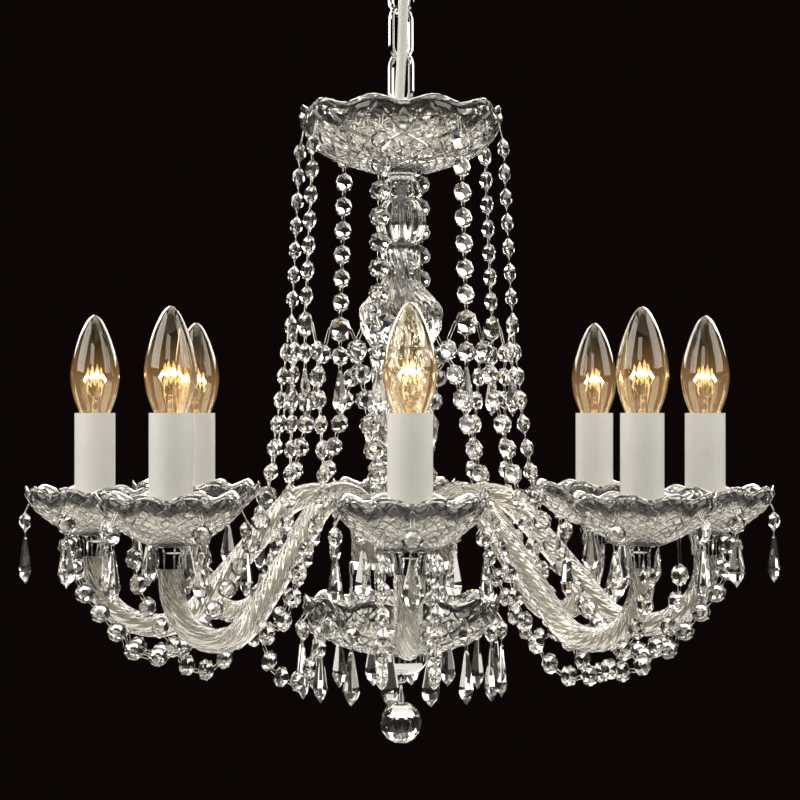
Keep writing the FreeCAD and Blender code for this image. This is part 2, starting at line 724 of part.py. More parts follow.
# ---------------------------------------------------------------- hub: lid, drum, nut, end cap
arm_hole = mm("arm_radius") + mm("arm_fit")
lid = new_body("hub_lid", hub_top - size("lid_thickness"))
lid_sketch = new_sketch(lid, "lid_outline", "XY_Plane")
for radius in (size("hub_radius"), rod_hole):
    index = lid_sketch.addGeometry(Part.Circle(Vector(), Vector(0, 0, 1), radius.value), False)
    lid_sketch.addConstraint(Sketcher.Constraint("Coincident", index, 3, -1, 1))
    bind(lid_sketch, Sketcher.Constraint("Radius", index, radius.value), radius.formula)
doc.recompute()
lid_pad = lid.newObject("PartDesign::Pad", "lid_pad")
lid_pad.Profile = lid_sketch
lid_pad.setExpression("Length", "Sizes.lid_thickness")
doc.recompute()
first_hole = drill(lid, "arm_hole", size("arm_radius") + size("arm_fit"), size("arm_circle"), ZERO)
hole_ring = lid.newObject("PartDesign::PolarPattern", "arm_holes")
hole_ring.Originals = [first_hole]
hole_ring.Axis = (origin_plane(lid, "Z_Axis"), [""])
hole_ring.Angle = 360
hole_ring.setExpression("Occurrences", "Sizes.arm_count")
lid.Tip = hole_ring

drum_height = size("hub_height") - size("lid_thickness")
turned("hub_drum", [
    (rod_hole, ZERO),
    (size("hub_foot_radius"), ZERO),
    (size("hub_foot_radius"), size("hub_wall") * 2),
    (size("hub_radius"), size("hub_curve_height"), size("hub_radius") * -0.8),
    (size("hub_radius"), drum_height),
    (size("hub_radius") - size("hub_wall"), drum_height),
    (size("hub_radius") - size("hub_wall"), size("hub_curve_height") + 1),
    (size("hub_foot_radius"), size("hub_wall") * 3.4, size("hub_radius") * 0.8),
    (rod_hole, size("hub_wall") * 3.4),
], lower_dish_floor)


def hexagon_nut(half_flats, bore, thickness, height):
    """A hexagon nut on the axis."""
    reach = half_flats / math.cos(math.pi / 6)
    corners = ring(6, reach, height)
    prism = flat_face(corners).extrude(Vector(0, 0, thickness))
    return prism.cut(Part.makeCylinder(bore, thickness, Vector(0, 0, height)))


feature("base_nut", hexagon_nut(mm("nut_radius") - 1, mm("rod_radius") + mm("rod_fit"), mm("nut_height"),
                                rod_bottom.value))


def bottom_cap():
    """The end cap over the nut, with the eye that carries the ball."""
    base = end_cap_base.value
    reach = mm("end_cap_radius")
    height = mm("end_cap_height")
    dome = Part.Arc(Vector(reach * 0.3, 0, base), Vector(reach * 0.78, 0, base + height * 0.22),
                    Vector(reach, 0, base + height * 0.62)).toShape()
    bore = mm("nut_radius") + 1.2
    depth = mm("nut_height") + 1
    rest = Part.makePolygon([
        Vector(reach, 0, base + height * 0.62),
        Vector(reach, 0, base + height),
        Vector(bore, 0, base + height),
        Vector(bore, 0, base + height - depth),
        Vector(0, 0, base + height - depth),
        Vector(0, 0, base),
        Vector(reach * 0.3, 0, base),
    ])
    section = Part.Face(Part.Wire([dome] + rest.Edges))
    cup = section.revolve(Vector(0, 0, 0), Vector(0, 0, 1), 360)
    eye = Part.makeTorus(mm("eye_radius"), mm("eye_wire_radius"), Vector(0, 0, eye_centre.value),
                         Vector(0, 1, 0))
    return cup.fuse(eye).removeSplitter()


feature("bottom_cap", bottom_cap())


def finial_ring():
    """The ring through the eye, with the small cap that is cemented on the ball."""
    loop = Part.makeTorus(mm("eye_radius"), mm("eye_wire_radius"), Vector(0, 0, ball_ring_centre.value),
                          Vector(1, 0, 0))
    top = ball_ring_centre.value - mm("eye_radius")
    seat = mm("ball_radius") - math.sqrt(mm("ball_radius") ** 2 - mm("ball_shank_radius") ** 2)
    foot = ball_top.value - seat
    shank = Part.makeCone(mm("eye_wire_radius"), mm("ball_shank_radius"), top - foot, Vector(0, 0, top),
                          Vector(0, 0, -1))
    ball = Part.makeSphere(mm("ball_radius"), Vector(0, 0, ball_centre.value))
    return loop.fuse(shank).cut(ball).removeSplitter()


feature("finial_ring", finial_ring())
feature("finial_ball", Part.makeSphere(mm("ball_radius"), Vector(0, 0, ball_centre.value)))

# ---------------------------------------------------------------- arms


class ArmPath:
    """The arm's centreline in its own plane: up from the hub, over an arch, down and round the
    lower bend, and up under the candle. Points are (reach, height)."""

    def __init__(self):
        self.start = (mm("arm_circle"), hub_top.value - mm("arm_socket"))
        self.arch_centre = (mm("arm_circle") + mm("arch_radius"), hub_top.value + mm("arch_rise"))
        self.bend_centre = (mm("arm_reach") - mm("bend_radius"), hub_top.value + mm("bend_rise"))
        self.end = (mm("arm_reach"), arm_end.value)
        across = self.bend_centre[0] - self.arch_centre[0]
        drop = self.bend_centre[1] - self.arch_centre[1]
        radii = mm("arch_radius") + mm("bend_radius")
        # the slope of the straight that touches the arch from above and the bend from below
        self.slope = math.atan2(drop, across) - math.asin(radii / math.hypot(across, drop))

    def on_circle(self, centre, radius, angle):
        return (centre[0] + radius * math.cos(angle), centre[1] + radius * math.sin(angle))

    def corners(self):
        """The ends and middles of the runs: straight, arc, straight, arc, straight."""
        arch, bend = mm("arch_radius"), mm("bend_radius")
        leave_arch = self.slope + math.pi / 2
        meet_bend = self.slope - math.pi / 2
        return {
            "start": self.start,
            "arch_in": self.on_circle(self.arch_centre, arch, math.pi),
            "arch_mid": self.on_circle(self.arch_centre, arch, (math.pi + leave_arch) / 2),
            "arch_out": self.on_circle(self.arch_centre, arch, leave_arch),
            "bend_in": self.on_circle(self.bend_centre, bend, meet_bend),
            "bend_mid": self.on_circle(self.bend_centre, bend, meet_bend / 2),
            "bend_out": self.on_circle(self.bend_centre, bend, 0),
            "end": self.end,
        }

    def edges(self, below=0.0, above=0.0):
        """The centreline as edges in the XZ plane, longer at both ends if asked."""
        at = {name: Vector(x, 0, z) for name, (x, z) in self.corners().items()}
        at["start"].z -= below
        at["end"].z += above
        return [
            Part.LineSegment(at["start"], at["arch_in"]).toShape(),
            Part.Arc(at["arch_in"], at["arch_mid"], at["arch_out"]).toShape(),
            Part.LineSegment(at["arch_out"], at["bend_in"]).toShape(),
            Part.Arc(at["bend_in"], at["bend_mid"], at["bend_out"]).toShape(),
            Part.LineSegment(at["bend_out"], at["end"]).toShape(),
        ]


arm_path = ArmPath()


def twisted_arm():
    """A twisted glass tube: a ribbed section turned steadily along the path, with a smooth bore."""
    edges = arm_path.edges()
    stations = []
    travelled = 0.0
    for edge in edges:
        steps = math.ceil(edge.Length / mm("arm_station"))
        for step in range(steps):
            share = step / steps
            value = edge.getParameterByLength(edge.Length * share)
            stations.append((edge.valueAt(value), edge.tangentAt(value), travelled + edge.Length * share))
        travelled += edge.Length
    last = edges[-1]
    stations.append((last.valueAt(last.LastParameter), last.tangentAt(last.LastParameter), travelled))
    count = int(2 * mm("arm_strands"))
    rings = []
    side = Vector(0, 1, 0)
    for point, heading, distance in stations:
        heading = Vector(heading).normalize()
        outward = side.cross(heading)
        twist = 2 * math.pi * distance / mm("twist_length")
        corners = []
        for index in range(count):
            angle = twist + 2 * math.pi * index / count
            reach = mm("arm_radius") - (mm("arm_groove") if index % 2 else 0)
            corners.append(point + side * (reach * math.cos(angle)) + outward * (reach * math.sin(angle)))
        rings.append(corners)
    skin = facetted(rings)
    bore = pipe(arm_path.edges(below=1, above=1), mm("arm_bore_radius"))
    return skin.cut(bore)


glass_arm = twisted_arm()
for index, bearing in enumerate(arm_bearings):
    feature("arm_%d" % (index + 1), glass_arm, about_axis(bearing))

arm_turns = [about_axis(bearing) for bearing in arm_bearings]
ferrule = round_plate(mm("ferrule_radius"), arm_hole, mm("ferrule_height"), hub_top.value)
rim = [edge for edge in ferrule.Edges
       if abs(edge.BoundBox.ZMin - hub_top.value - mm("ferrule_height")) < 1e-6
       and abs(edge.BoundBox.ZMax - edge.BoundBox.ZMin) < 1e-6 and edge.Length > 2 * math.pi * arm_hole + 3]
ferrule = ferrule.makeChamfer(1, rim)
ferrule.translate(Vector(mm("arm_circle"), 0, 0))
copies("arm_ferrules", ferrule, arm_turns)
wire_run = pipe(arm_path.edges(below=6, above=mm("cup_height") + mm("drip_wall") + 3), mm("wire_radius"))
copies("arm_wires", wire_run, arm_turns)


def turned_shape(corners):
    """A solid turned about the axis from (radius, height) corners joined by straight lines."""
    points = [Vector(r, 0, z) for r, z in corners]
    section = flat_face(points)
    solid = section.revolve(Vector(0, 0, 0), Vector(0, 0, 1), 360)
    if solid.Volume < 0:
        solid.reverse()
    return solid


def arm_cup():
    """The metal cup cemented on the arm's end, with the threaded nipple that holds the candle."""
    skirt = arm_end.value - mm("cup_skirt")
    top = cup_top.value
    nipple_top = drip_floor.value + mm("nipple_rise")
    return turned_shape([
        (arm_hole, skirt),
        (arm_hole + 1.4, skirt),
        (arm_hole + 1.4, arm_end.value + 2),
        (mm("cup_radius"), top - 3),
        (mm("cup_radius"), top),
        (mm("nipple_radius"), top),
        (mm("nipple_radius"), nipple_top),
        (mm("nipple_bore"), nipple_top),
        (mm("nipple_bore"), arm_end.value),
        (arm_hole, arm_end.value),
    ])


def lampholder():
    """The candle lampholder: nipple thread below, a wire space, and the lamp thread on top."""
    base = drip_floor.value
    top = holder_top.value
    thread = mm("screw_cap_radius") + mm("screw_cap_fit")
    contact = top - mm("screw_cap_height") - 4
    socket = mm("nipple_radius") + mm("rod_fit")
    return turned_shape([
        (socket, base),
        (mm("holder_radius"), base),
        (mm("holder_radius"), top),
        (thread, top),
        (thread, contact),
        (mm("wire_radius") * 0.7, contact),
        (mm("wire_radius") * 0.7, contact - 3),
        (mm("holder_radius") - 2, contact - 3),
        (mm("holder_radius") - 2, base + mm("nipple_rise") + 5),
        (mm("nipple_bore"), base + mm("nipple_rise") + 3),
        (socket, base + mm("nipple_rise") + 1),
    ])


sleeve = round_plate(mm("sleeve_radius"), mm("sleeve_radius") - mm("sleeve_wall"), mm("sleeve_height"),
                     drip_floor.value)
candle_places = []
for turn in arm_turns:
    candle_places.append(turn.multiply(Placement(Vector(mm("arm_reach"), 0, 0), Rotation())))
copies("arm_cups", arm_cup(), candle_places)
copies("lampholders", lampholder(), candle_places)
copies("candle_sleeves", sleeve, candle_places)
dish_glass = drip_bowl()
for index, place in enumerate(candle_places):
    seat = Placement(place)
    seat.Base.z = cup_top.value
    feature("drip_dish_%d" % (index + 1), dish_glass, seat)


def candle_bulb():
    """A candle lamp: a screw cap and a thin glass envelope, hollow inside."""
    low = holder_top.value + mm("chain_gap")
    cap = mm("screw_cap_radius")
    neck = mm("bulb_neck_radius")
    wide = mm("bulb_radius")
    top = candle_top.value
    wall = 0.9

    def envelope(offset):
        """The outer or inner line of the glass, from the neck up to the tip."""
        base = Vector(neck - offset, 0, low + offset)
        mouth = Vector(mm("bulb_mouth_radius") - offset, 0, top)
        belly = Vector(wide - offset, 0, top + mm("bulb_widest"))
        shoulder = Vector(wide * 0.62 - offset, 0, top + mm("bulb_widest") + 24)
        tip = Vector(0, 0, top + mm("bulb_height") - offset)
        line = Part.BSplineCurve()
        line.interpolate([base, mouth, belly, shoulder, tip],
                         InitialTangent=Vector(0, 0, 1), FinalTangent=Vector(-1, 0, 0.7))
        return line.toShape(), base, tip

    outer, outer_base, outer_tip = envelope(0)
    inner, inner_base, inner_tip = envelope(wall)
    lines = [
        Vector(0, 0, low - mm("screw_cap_height") - 1.5),
        Vector(cap * 0.5, 0, low - mm("screw_cap_height") - 1.5),
        Vector(cap, 0, low - mm("screw_cap_height") + 1.5),
        Vector(cap, 0, low),
        outer_base,
    ]
    edges = [Part.LineSegment(a, b).toShape() for a, b in zip(lines, lines[1:])]
    edges.append(outer)
    edges.append(Part.LineSegment(outer_tip, inner_tip).toShape())
    edges.append(inner)
    floor = Vector(0, 0, inner_base.z)
    edges.append(Part.LineSegment(inner_base, floor).toShape())
    edges.append(Part.LineSegment(floor, lines[0]).toShape())
    section = Part.Face(Part.Wire(Part.__sortEdges__(edges)))
    solid = section.revolve(Vector(0, 0, 0), Vector(0, 0, 1), 360)
    if solid.Volume < 0:
        solid.reverse()
    return solid


lamp = candle_bulb()
for index, place in enumerate(candle_places):
    feature("bulb_%d" % (index + 1), lamp, place)

# ---------------------------------------------------------------- cut-glass trimmings


def bead_shape(radius, thickness):
    """An eight-sided cut bead: its hole runs along Z and its flat faces look along X."""
    corners = [Vector(0, point.x, point.y) for point in ring(8, radius, 0)]
    return facetted([[Vector(-thickness / 2, 0, 0)], corners, [Vector(thickness / 2, 0, 0)]])


def drop_shape(length, width):
    """A four-sided drop that hangs down from the origin, widest near its point."""
    low = -length + mm("drop_point")
    half = width / 2
    corners = [Vector(half * 0.62, 0, low), Vector(0, half, low), Vector(-half * 0.62, 0, low),
               Vector(0, -half, low)]
    return facetted([[Vector(0, 0, -length)], corners, [Vector(0, 0, 0)]])


def pin_shape(start, end):
    """A bent wire pin between two holes, drawn as a slim spindle."""
    heading = (end - start).normalize()
    side = heading.cross(Vector(0.3, 0.5, 0.81)).normalize()
    other = heading.cross(side)
    middle = (start + end) * 0.5
    corners = []
    for index in range(3):
        angle = 2 * math.pi * index / 3
        corners.append(middle + (side * math.cos(angle) + other * math.sin(angle)) * mm("pin_radius"))
    return facetted([[start], corners, [end]])


def facing_placement(point, along, facing):
    """The placement that turns Z to the strand and X to the side that the bead faces."""
    z_axis = Vector(along).normalize()
    x_axis = (facing - z_axis * facing.dot(z_axis)).normalize()
    y_axis = z_axis.cross(x_axis)
    turn = Matrix(x_axis.x, y_axis.x, z_axis.x, point.x,
                  x_axis.y, y_axis.y, z_axis.y, point.y,
                  x_axis.z, y_axis.z, z_axis.z, point.z,
                  0, 0, 0, 1)
    return Placement(turn)


bead = bead_shape(mm("bead_radius"), mm("bead_thickness"))
octagon = bead_shape(mm("octagon_radius"), mm("octagon_thickness"))
short_drop = drop_shape(mm("drop_length"), mm("drop_width"))
long_drop = drop_shape(mm("long_drop_length"), mm("drop_width"))
strand_pieces = []
swag_pieces = []
pendant_pieces = []
pins = []


def put(pieces, shape, point, along, facing):
    pieces.append(shape.transformed(facing_placement(point, along, facing).toMatrix(), True))


def pin_between(start, end):
    """A pin that leaves a hair of clearance at both holes."""
    heading = (end - start).normalize()
    gap = mm("pin_gap")
    pins.append(pin_shape(start + heading * gap, end - heading * gap))


def walk(points, pitch, count=None):
    """Points at equal steps along a row of points, the first one included."""
    places = [points[0]]
    here = points[0]
    index = 1
    while index < len(points):
        target = points[index]
        away = target - here
        if away.Length >= pitch:
            # the step ends on the run from the last corner to this one
            before = points[index - 1] if index > 0 else here
            run = target - before
            low, high = 0.0, 1.0
            for _ in range(40):
                share = (low + high) / 2
                if (before + run * share - here).Length < pitch:
                    low = share
                else:
                    high = share
            here = before + run * high
            places.append(here)
            if count and len(places) == count:
                return places
            points = points[:index] + [here] + points[index:]
            index += 1
        else:
            index += 1
    return places


def hang_beads(places, pieces, facing, start=None, end=None):
    """Beads on a row of places, pinned hole to hole, and pinned to a start and an end point."""
    radius = mm("bead_radius")
    tops, bottoms = [], []
    for index, place in enumerate(places):
        before = places[index - 1] if index > 0 else (start or place * 2 - places[1])
        after = places[index + 1] if index + 1 < len(places) else (end or place * 2 - places[-2])
        along = ((place - before).normalize() + (after - place).normalize()).normalize()
        put(pieces, bead, place, along, facing(index, len(places)))
        tops.append(place - along * radius)
        bottoms.append(place + along * radius)
    for low, high in zip(bottoms, tops[1:]):
        pin_between(low, high)
    if start is not None:
        pin_between(start, tops[0])
    if end is not None:
        pin_between(bottoms[-1], end)


def hang_drop(hole, bead_point, drop, outward):
    """A bead and a drop under a hole."""
    down = Vector(0, 0, -1)
    radius = mm("bead_radius")
    put(pendant_pieces, bead, bead_point, down, outward)
    drop_top = bead_point + down * (radius + mm("bead_pitch") - 2 * radius)
    put(pendant_pieces, drop, drop_top, Vector(0, 0, 1), outward)
    pin_between(hole, bead_point - down * radius)
    pin_between(bead_point + down * radius, drop_top)


# The way each swag hangs, as (reach from the axis, height above the candle tops, distance to the
# side) in its arm's plane.
EVEN_SWAG = [(100, -80, 17), (115, -110, 17), (130, -135, 17), (147, -160, 17), (165, -172, 17),
             (185, -172, 17), (205, -150, 17), (222, -130, 17), (235, -105, 17)]
LOW_SWAG = [(104, -80, 17), (116, -106, 17), (126, -133, 17), (137, -150, 17), (149, -163, 17),
            (160, -174, 17), (181, -175, 17), (206, -167, 17), (225, -143, 17), (236, -118, 17)]
CURLED_SWAG = [(100, -72, 17), (110, -89, 17), (118, -108, 17), (125, -130, 17), (133, -141, 17),
               (144, -143, 17), (153, -156, 17), (142, -170, 16), (129, -180, 14), (114, -182, 12),
               (99, -174, 8), (86, -160, 5)]


def swag_for(bearing, side):
    """Two neighbouring arms hang differently: one swag lies lower, another curls back to the hub."""
    if abs(bearing - 45) < 1:
        return LOW_SWAG, False
    if abs(bearing - 315) < 1 and side > 0:
        return CURLED_SWAG, True
    return EVEN_SWAG, False


eye_level = candle_top.value
for bearing in arm_bearings:
    turn = about_axis(bearing)
    strand_angle = math.radians(mm("strand_turn"))
    strand_out = Vector(math.cos(strand_angle), math.sin(strand_angle), 0)
    strand_side = Vector(-strand_out.y, strand_out.x, 0)
    pitch = mm("bead_pitch")
    first = top_dish_rim.value - mm("strand_start")
    count = int(mm("strand_beads"))
    spread = (mm("strand_low_circle") - mm("strand_top_circle")) / count
    main = []
    for index in range(count + 1):
        reach = mm("strand_top_circle") + spread * index
        main.append(strand_out * reach + Vector(0, 0, first - pitch * index))
    hole_height = top_dish_rim.value - mm("strand_start") + 17
    hole = strand_out * (mm("top_dish_radius") - 1.2) + Vector(0, 0, hole_height)
    main = [turn.multVec(point) for point in main]
    outward = turn.multVec(strand_out)
    sideways = turn.multVec(strand_side)
    octagon_point = main[-1] - Vector(0, 0, (mm("octagon_radius") - mm("bead_radius")))
    hang_beads(main[:-1], strand_pieces, lambda i, n: outward, start=turn.multVec(hole),
               end=octagon_point + Vector(0, 0, mm("octagon_radius")))
    put(strand_pieces, octagon, octagon_point, Vector(0, 0, -1), outward)
    drop_hole = octagon_point - Vector(0, 0, mm("octagon_radius"))
    hang_drop(drop_hole, octagon_point - Vector(0, 0, mm("octagon_radius") + pitch - mm("bead_radius")),
              short_drop, outward)
    for side in (-1, 1):
        begin = octagon_point + sideways * (side * mm("octagon_radius"))
        top_bead = octagon_point + sideways * (side * mm("branch_spread")) - Vector(0, 0, mm("branch_start"))
        low_bead = turn.multVec(Vector(mm("branch_circle") - 2, side * mm("arm_side"), eye_level - 50))
        plan, curls = swag_for(bearing, side)
        corners = [top_bead, low_bead]
        for reach, height, aside in plan:
            corners.append(turn.multVec(Vector(reach, side * aside, eye_level + height)))
        if curls:
            finish = turn.multVec(Vector(mm("lower_dish_radius") - 1.5, side * 4,
                                         lower_dish_rim.value - 6))
        else:
            finish = turn.multVec(Vector(mm("arm_reach") + mm("swag_hole"), side * (mm("arm_side") - 1),
                                         cup_top.value + 5.4))
        places = walk(corners + [finish], pitch)
        while (places[-1] - finish).Length < mm("bead_radius") + 2:
            places.pop()
        turn_in = turn.multVec(Vector(0, 1, 0))
        branch_count = int(mm("branch_beads"))

        def facing(index, total):
            """Branch beads look outwards, and swag beads look sideways from the arm."""
            return outward if index < branch_count else turn_in

        cut_pieces = []
        hang_beads(places, cut_pieces, facing, start=begin, end=finish)
        strand_pieces += cut_pieces[:branch_count]
        swag_pieces += cut_pieces[branch_count:]

for place in candle_places:
    for index in range(int(mm("drip_drops"))):
        angle = 2 * math.pi * index / mm("drip_drops")
        outward = place.Rotation.multVec(Vector(math.cos(angle), math.sin(angle), 0))
        centre = Vector(place.Base.x, place.Base.y, 0)
        hole = centre + outward * (mm("drip_radius") - 4.8) + Vector(0, 0, drip_rim.value - 7.5)
        bead_point = centre + outward * (mm("drip_radius") - 0.5) + Vector(0, 0, drip_rim.value - 23)
        hang_drop(hole, bead_point, short_drop, outward)

for index in range(int(mm("base_drops"))):
    outward = polar(1, mm("base_turn") + 360 * index / mm("base_drops"), 0)
    crest = math.cos(mm("dish_lobes") * math.atan2(outward.y, outward.x))
    hole = outward * (mm("lower_dish_radius") - 2.4 + 0.4 * crest) + Vector(0, 0, lower_dish_rim.value - 8)
    bead_point = outward * (mm("lower_dish_radius") + 2) + Vector(0, 0, lower_dish_rim.value - 21.5)
    hang_drop(hole, bead_point, long_drop, outward)

feature("strand_beads", Part.makeCompound(strand_pieces))
feature("swag_beads", Part.makeCompound(swag_pieces))
feature("pendant_drops", Part.makeCompound(pendant_pieces))
feature("trim_pins", Part.makeCompound(pins))
print("beads", len(strand_pieces), len(swag_pieces), "pendants", len(pendant_pieces), "pins", len(pins))

# ---------------------------------------------------------------- write the pieces
doc.recompute()
os.makedirs("parts", exist_ok=True)
written = 0
for item in doc.Objects:
    if "Invalid" in item.State or "Error" in item.State:
        raise RuntimeError("%s is not up to date: %s" % (item.Label, item.State))
for item in doc.Objects:
    if item.TypeId not in ("PartDesign::Body", "Part::Feature", "Part::Box"):
        continue
    if item.Shape.isNull() or not item.Shape.isValid():
        raise RuntimeError("%s has no valid shape" % item.Label)
    item.Shape.exportStep("parts/%s.step" % item.Label)
    written += 1
print("pieces written:", written)
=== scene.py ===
# %% [markdown]
# # A crystal chandelier with eight candle lamps
#
# The chandelier hangs from the ceiling on a short chain. Twisted glass arms carry candle tubes, and
# strings of cut beads run from the top dish down to the arms and on to the small drip dishes.
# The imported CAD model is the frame: it says where each piece is, and this script makes each piece
# look like glass, chrome or plastic.

# %% Load the frame
import bpy
import bmesh
import math
from mathutils import Matrix, Vector, kdtree


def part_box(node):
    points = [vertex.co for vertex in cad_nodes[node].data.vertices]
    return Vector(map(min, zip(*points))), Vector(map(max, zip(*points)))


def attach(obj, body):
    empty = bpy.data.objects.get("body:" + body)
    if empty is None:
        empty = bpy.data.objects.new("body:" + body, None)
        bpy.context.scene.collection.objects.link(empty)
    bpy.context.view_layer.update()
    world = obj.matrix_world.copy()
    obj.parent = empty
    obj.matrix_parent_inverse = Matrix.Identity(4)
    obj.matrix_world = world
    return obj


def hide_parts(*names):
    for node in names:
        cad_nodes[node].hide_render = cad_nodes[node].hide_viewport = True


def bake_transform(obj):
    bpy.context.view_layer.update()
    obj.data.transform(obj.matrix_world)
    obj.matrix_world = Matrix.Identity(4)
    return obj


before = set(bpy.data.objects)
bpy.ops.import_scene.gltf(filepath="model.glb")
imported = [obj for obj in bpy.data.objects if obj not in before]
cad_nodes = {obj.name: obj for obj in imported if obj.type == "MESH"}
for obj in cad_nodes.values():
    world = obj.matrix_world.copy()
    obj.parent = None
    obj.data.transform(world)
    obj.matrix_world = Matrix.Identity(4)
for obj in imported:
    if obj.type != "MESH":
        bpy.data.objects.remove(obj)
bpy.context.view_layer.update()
MM = 0.001
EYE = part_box("candle_sleeves")[1][2]
print("the candle tubes end at", round(EYE, 4), "m; there are", len(cad_nodes), "CAD nodes")

# %% [markdown]
# ## Camera
# The photographer stood back with a long lens, level with the tops of the candle tubes: the far and
# the near tubes end on one line there. Distance and focal length come from how much smaller the far
# candles look. The chandelier hung turned by a degree and a half, so the camera goes round by that.

# %% Camera
CAMERA_DISTANCE = 1.825
CAMERA_BEARING = math.radians(-1.5)
IMAGE_SIZE = 800
FOCAL_PIXELS = 2555
SENSOR = 36.0
HORIZON_ROW = 413
AXIS_COLUMN = 401

camera_data = bpy.data.cameras.new("studio_camera")
camera_data.sensor_width = SENSOR
camera_data.lens = FOCAL_PIXELS / IMAGE_SIZE * SENSOR
camera_data.shift_x = -(AXIS_COLUMN - IMAGE_SIZE / 2) / IMAGE_SIZE
camera_data.shift_y = (HORIZON_ROW - IMAGE_SIZE / 2) / IMAGE_SIZE
camera = bpy.data.objects.new("studio_camera", camera_data)
bpy.context.scene.collection.objects.link(camera)
camera.location = (CAMERA_DISTANCE * math.sin(CAMERA_BEARING),
                   -CAMERA_DISTANCE * math.cos(CAMERA_BEARING), EYE)
camera.rotation_euler = (math.radians(90), 0, CAMERA_BEARING)
bpy.context.scene.camera = camera
print("lens", round(camera_data.lens, 1), "mm at", CAMERA_DISTANCE, "m")

# %% [markdown]
# ## Small helpers
# A node tree, whether for a material or for geometry, is a list of nodes with their settings and
# links, so one small function adds any node. Colours are written as the eye reads them, in sRGB hex,
# and one function turns them to the linear values that Blender works with.

# %% Helpers for trees and colours


def linear(hex_colour):
    """A linear RGBA colour from an sRGB hex string."""
    values = []
    for start in (1, 3, 5):
        part = int(hex_colour[start:start + 2], 16) / 255
        values.append(part / 12.92 if part <= 0.04045 else ((part + 0.055) / 1.055) ** 2.4)
    return (*values, 1.0)


def add_node(tree, kind, inputs=None, **settings):
    """Add a node, set its options, then fill or link its inputs by name or number."""
    node = tree.nodes.new(kind)
    for name, value in settings.items():
        setattr(node, name, value)
    for key, value in (inputs or {}).items():
        if isinstance(value, bpy.types.NodeSocket):
            tree.links.new(value, node.inputs[key])
        else:
            node.inputs[key].default_value = value
    return node


def calculate(tree, operation, *values):
    """The result of a maths node: a number is typed in and a socket is linked."""
    inputs = dict(enumerate(values))
    return add_node(tree, "ShaderNodeMath", inputs, operation=operation).outputs[0]


def new_material(name, sockets):
    """A material with one Principled shader, its sockets set straight from a dictionary."""
    material = bpy.data.materials.new(name)
    material.use_nodes = True
    tree = material.node_tree
    shader = tree.nodes["Principled BSDF"]
    for socket, value in sockets.items():
        shader.inputs[socket].default_value = value
    return material, tree, shader


def add_object(name, mesh, material=None):
    """An object for a mesh, linked to the scene, with its material in the first slot."""
    thing = bpy.data.objects.new(name, mesh)
    bpy.context.scene.collection.objects.link(thing)
    if material is not None:
        mesh.materials.clear()
        mesh.materials.append(material)
    return thing


# %% [markdown]
# ## Materials
# Lead crystal is clear glass with a high index, so it bends light strongly and throws sharp
# sparkles. Pressed glass is the same stuff with softer edges. The chain, cups and hub are chromed.
# The candle tubes are glossy moulded plastic. Each surface gets a little unevenness at its real
# scale, because nothing made is perfectly even.

# %% Glass


def uneven(tree, shader, size_mm, detail, strength, depth_mm):
    """Bumps of a real size on a material; the noise that they come from is handed back."""
    place = add_node(tree, "ShaderNodeTexCoord")
    noise = add_node(tree, "ShaderNodeTexNoise", {
        "Vector": place.outputs["Object"], "Scale": 1 / (size_mm * MM), "Detail": detail})
    bump = add_node(tree, "ShaderNodeBump", {
        "Height": noise.outputs["Fac"], "Strength": strength, "Distance": depth_mm * MM})
    tree.links.new(bump.outputs["Normal"], shader.inputs["Normal"])
    return noise.outputs["Fac"]


def vary_roughness(tree, shader, noise, spread, low, high):
    """A roughness that goes from one value to another with the noise."""
    haze = add_node(tree, "ShaderNodeMapRange", {
        "Value": noise, "From Min": 0.5 - spread, "From Max": 0.5 + spread,
        "To Min": low, "To Max": high})
    tree.links.new(haze.outputs["Result"], shader.inputs["Roughness"])


def glass(name, tint, index, ripple_mm, ripple_depth_mm, rough, clear=1.0):
    """Clear glass: faint ripples of a real size, and a roughness that varies slightly."""
    material, tree, shader = new_material(name, {
        "Base Color": linear(tint), "Transmission Weight": clear, "IOR": index, "Roughness": 0.01})
    ripple = uneven(tree, shader, ripple_mm, 1.0, 1.0, ripple_depth_mm)
    vary_roughness(tree, shader, ripple, 0.2, *rough)
    return material


cut_crystal = glass("cut_lead_crystal", "#FDFCFA", 1.58, 9, 0.004, (0.0, 0.01), 0.98)
pressed_crystal = glass("pressed_crystal_dish", "#FCFBF8", 1.55, 6, 0.01, (0.0, 0.01), 0.98)
drawn_glass = glass("drawn_glass_arm", "#FDFBF6", 1.52, 5, 0.03, (0.0, 0.02), 0.94)
stem_glass = glass("blown_stem_glass", "#FCFBF8", 1.54, 5, 0.03, (0.0, 0.02), 0.97)
print("glass materials:", cut_crystal.name, pressed_crystal.name, drawn_glass.name, stem_glass.name)

# %% Chrome, steel and plastics


def metal(name, colour, rough, grain_mm, grain_depth_mm):
    """Plated or bare metal: bright, with a fine unevenness from polishing."""
    material, tree, shader = new_material(name, {
        "Base Color": linear(colour), "Metallic": 1.0, "Roughness": rough})
    grain = uneven(tree, shader, grain_mm, 3.0, 0.6, grain_depth_mm)
    vary_roughness(tree, shader, grain, 0.25, rough * 0.6, rough * 1.6)
    return material


def plastic(name, colour, shade, rough, gloss, mottle_mm):
    """Moulded plastic: two close tones in a soft mottle, under a clear gloss."""
    material, tree, shader = new_material(name, {
        "Base Color": linear(colour), "Roughness": rough, "IOR": 1.49,
        "Coat Weight": gloss, "Coat Roughness": 0.08})
    mottle = uneven(tree, shader, mottle_mm, 2.0, 0.3, 0.02)
    tones = add_node(tree, "ShaderNodeMix", {
        "Factor": mottle, "A": linear(colour), "B": linear(shade)}, data_type="RGBA")
    tree.links.new(tones.outputs["Result"], shader.inputs["Base Color"])
    return material


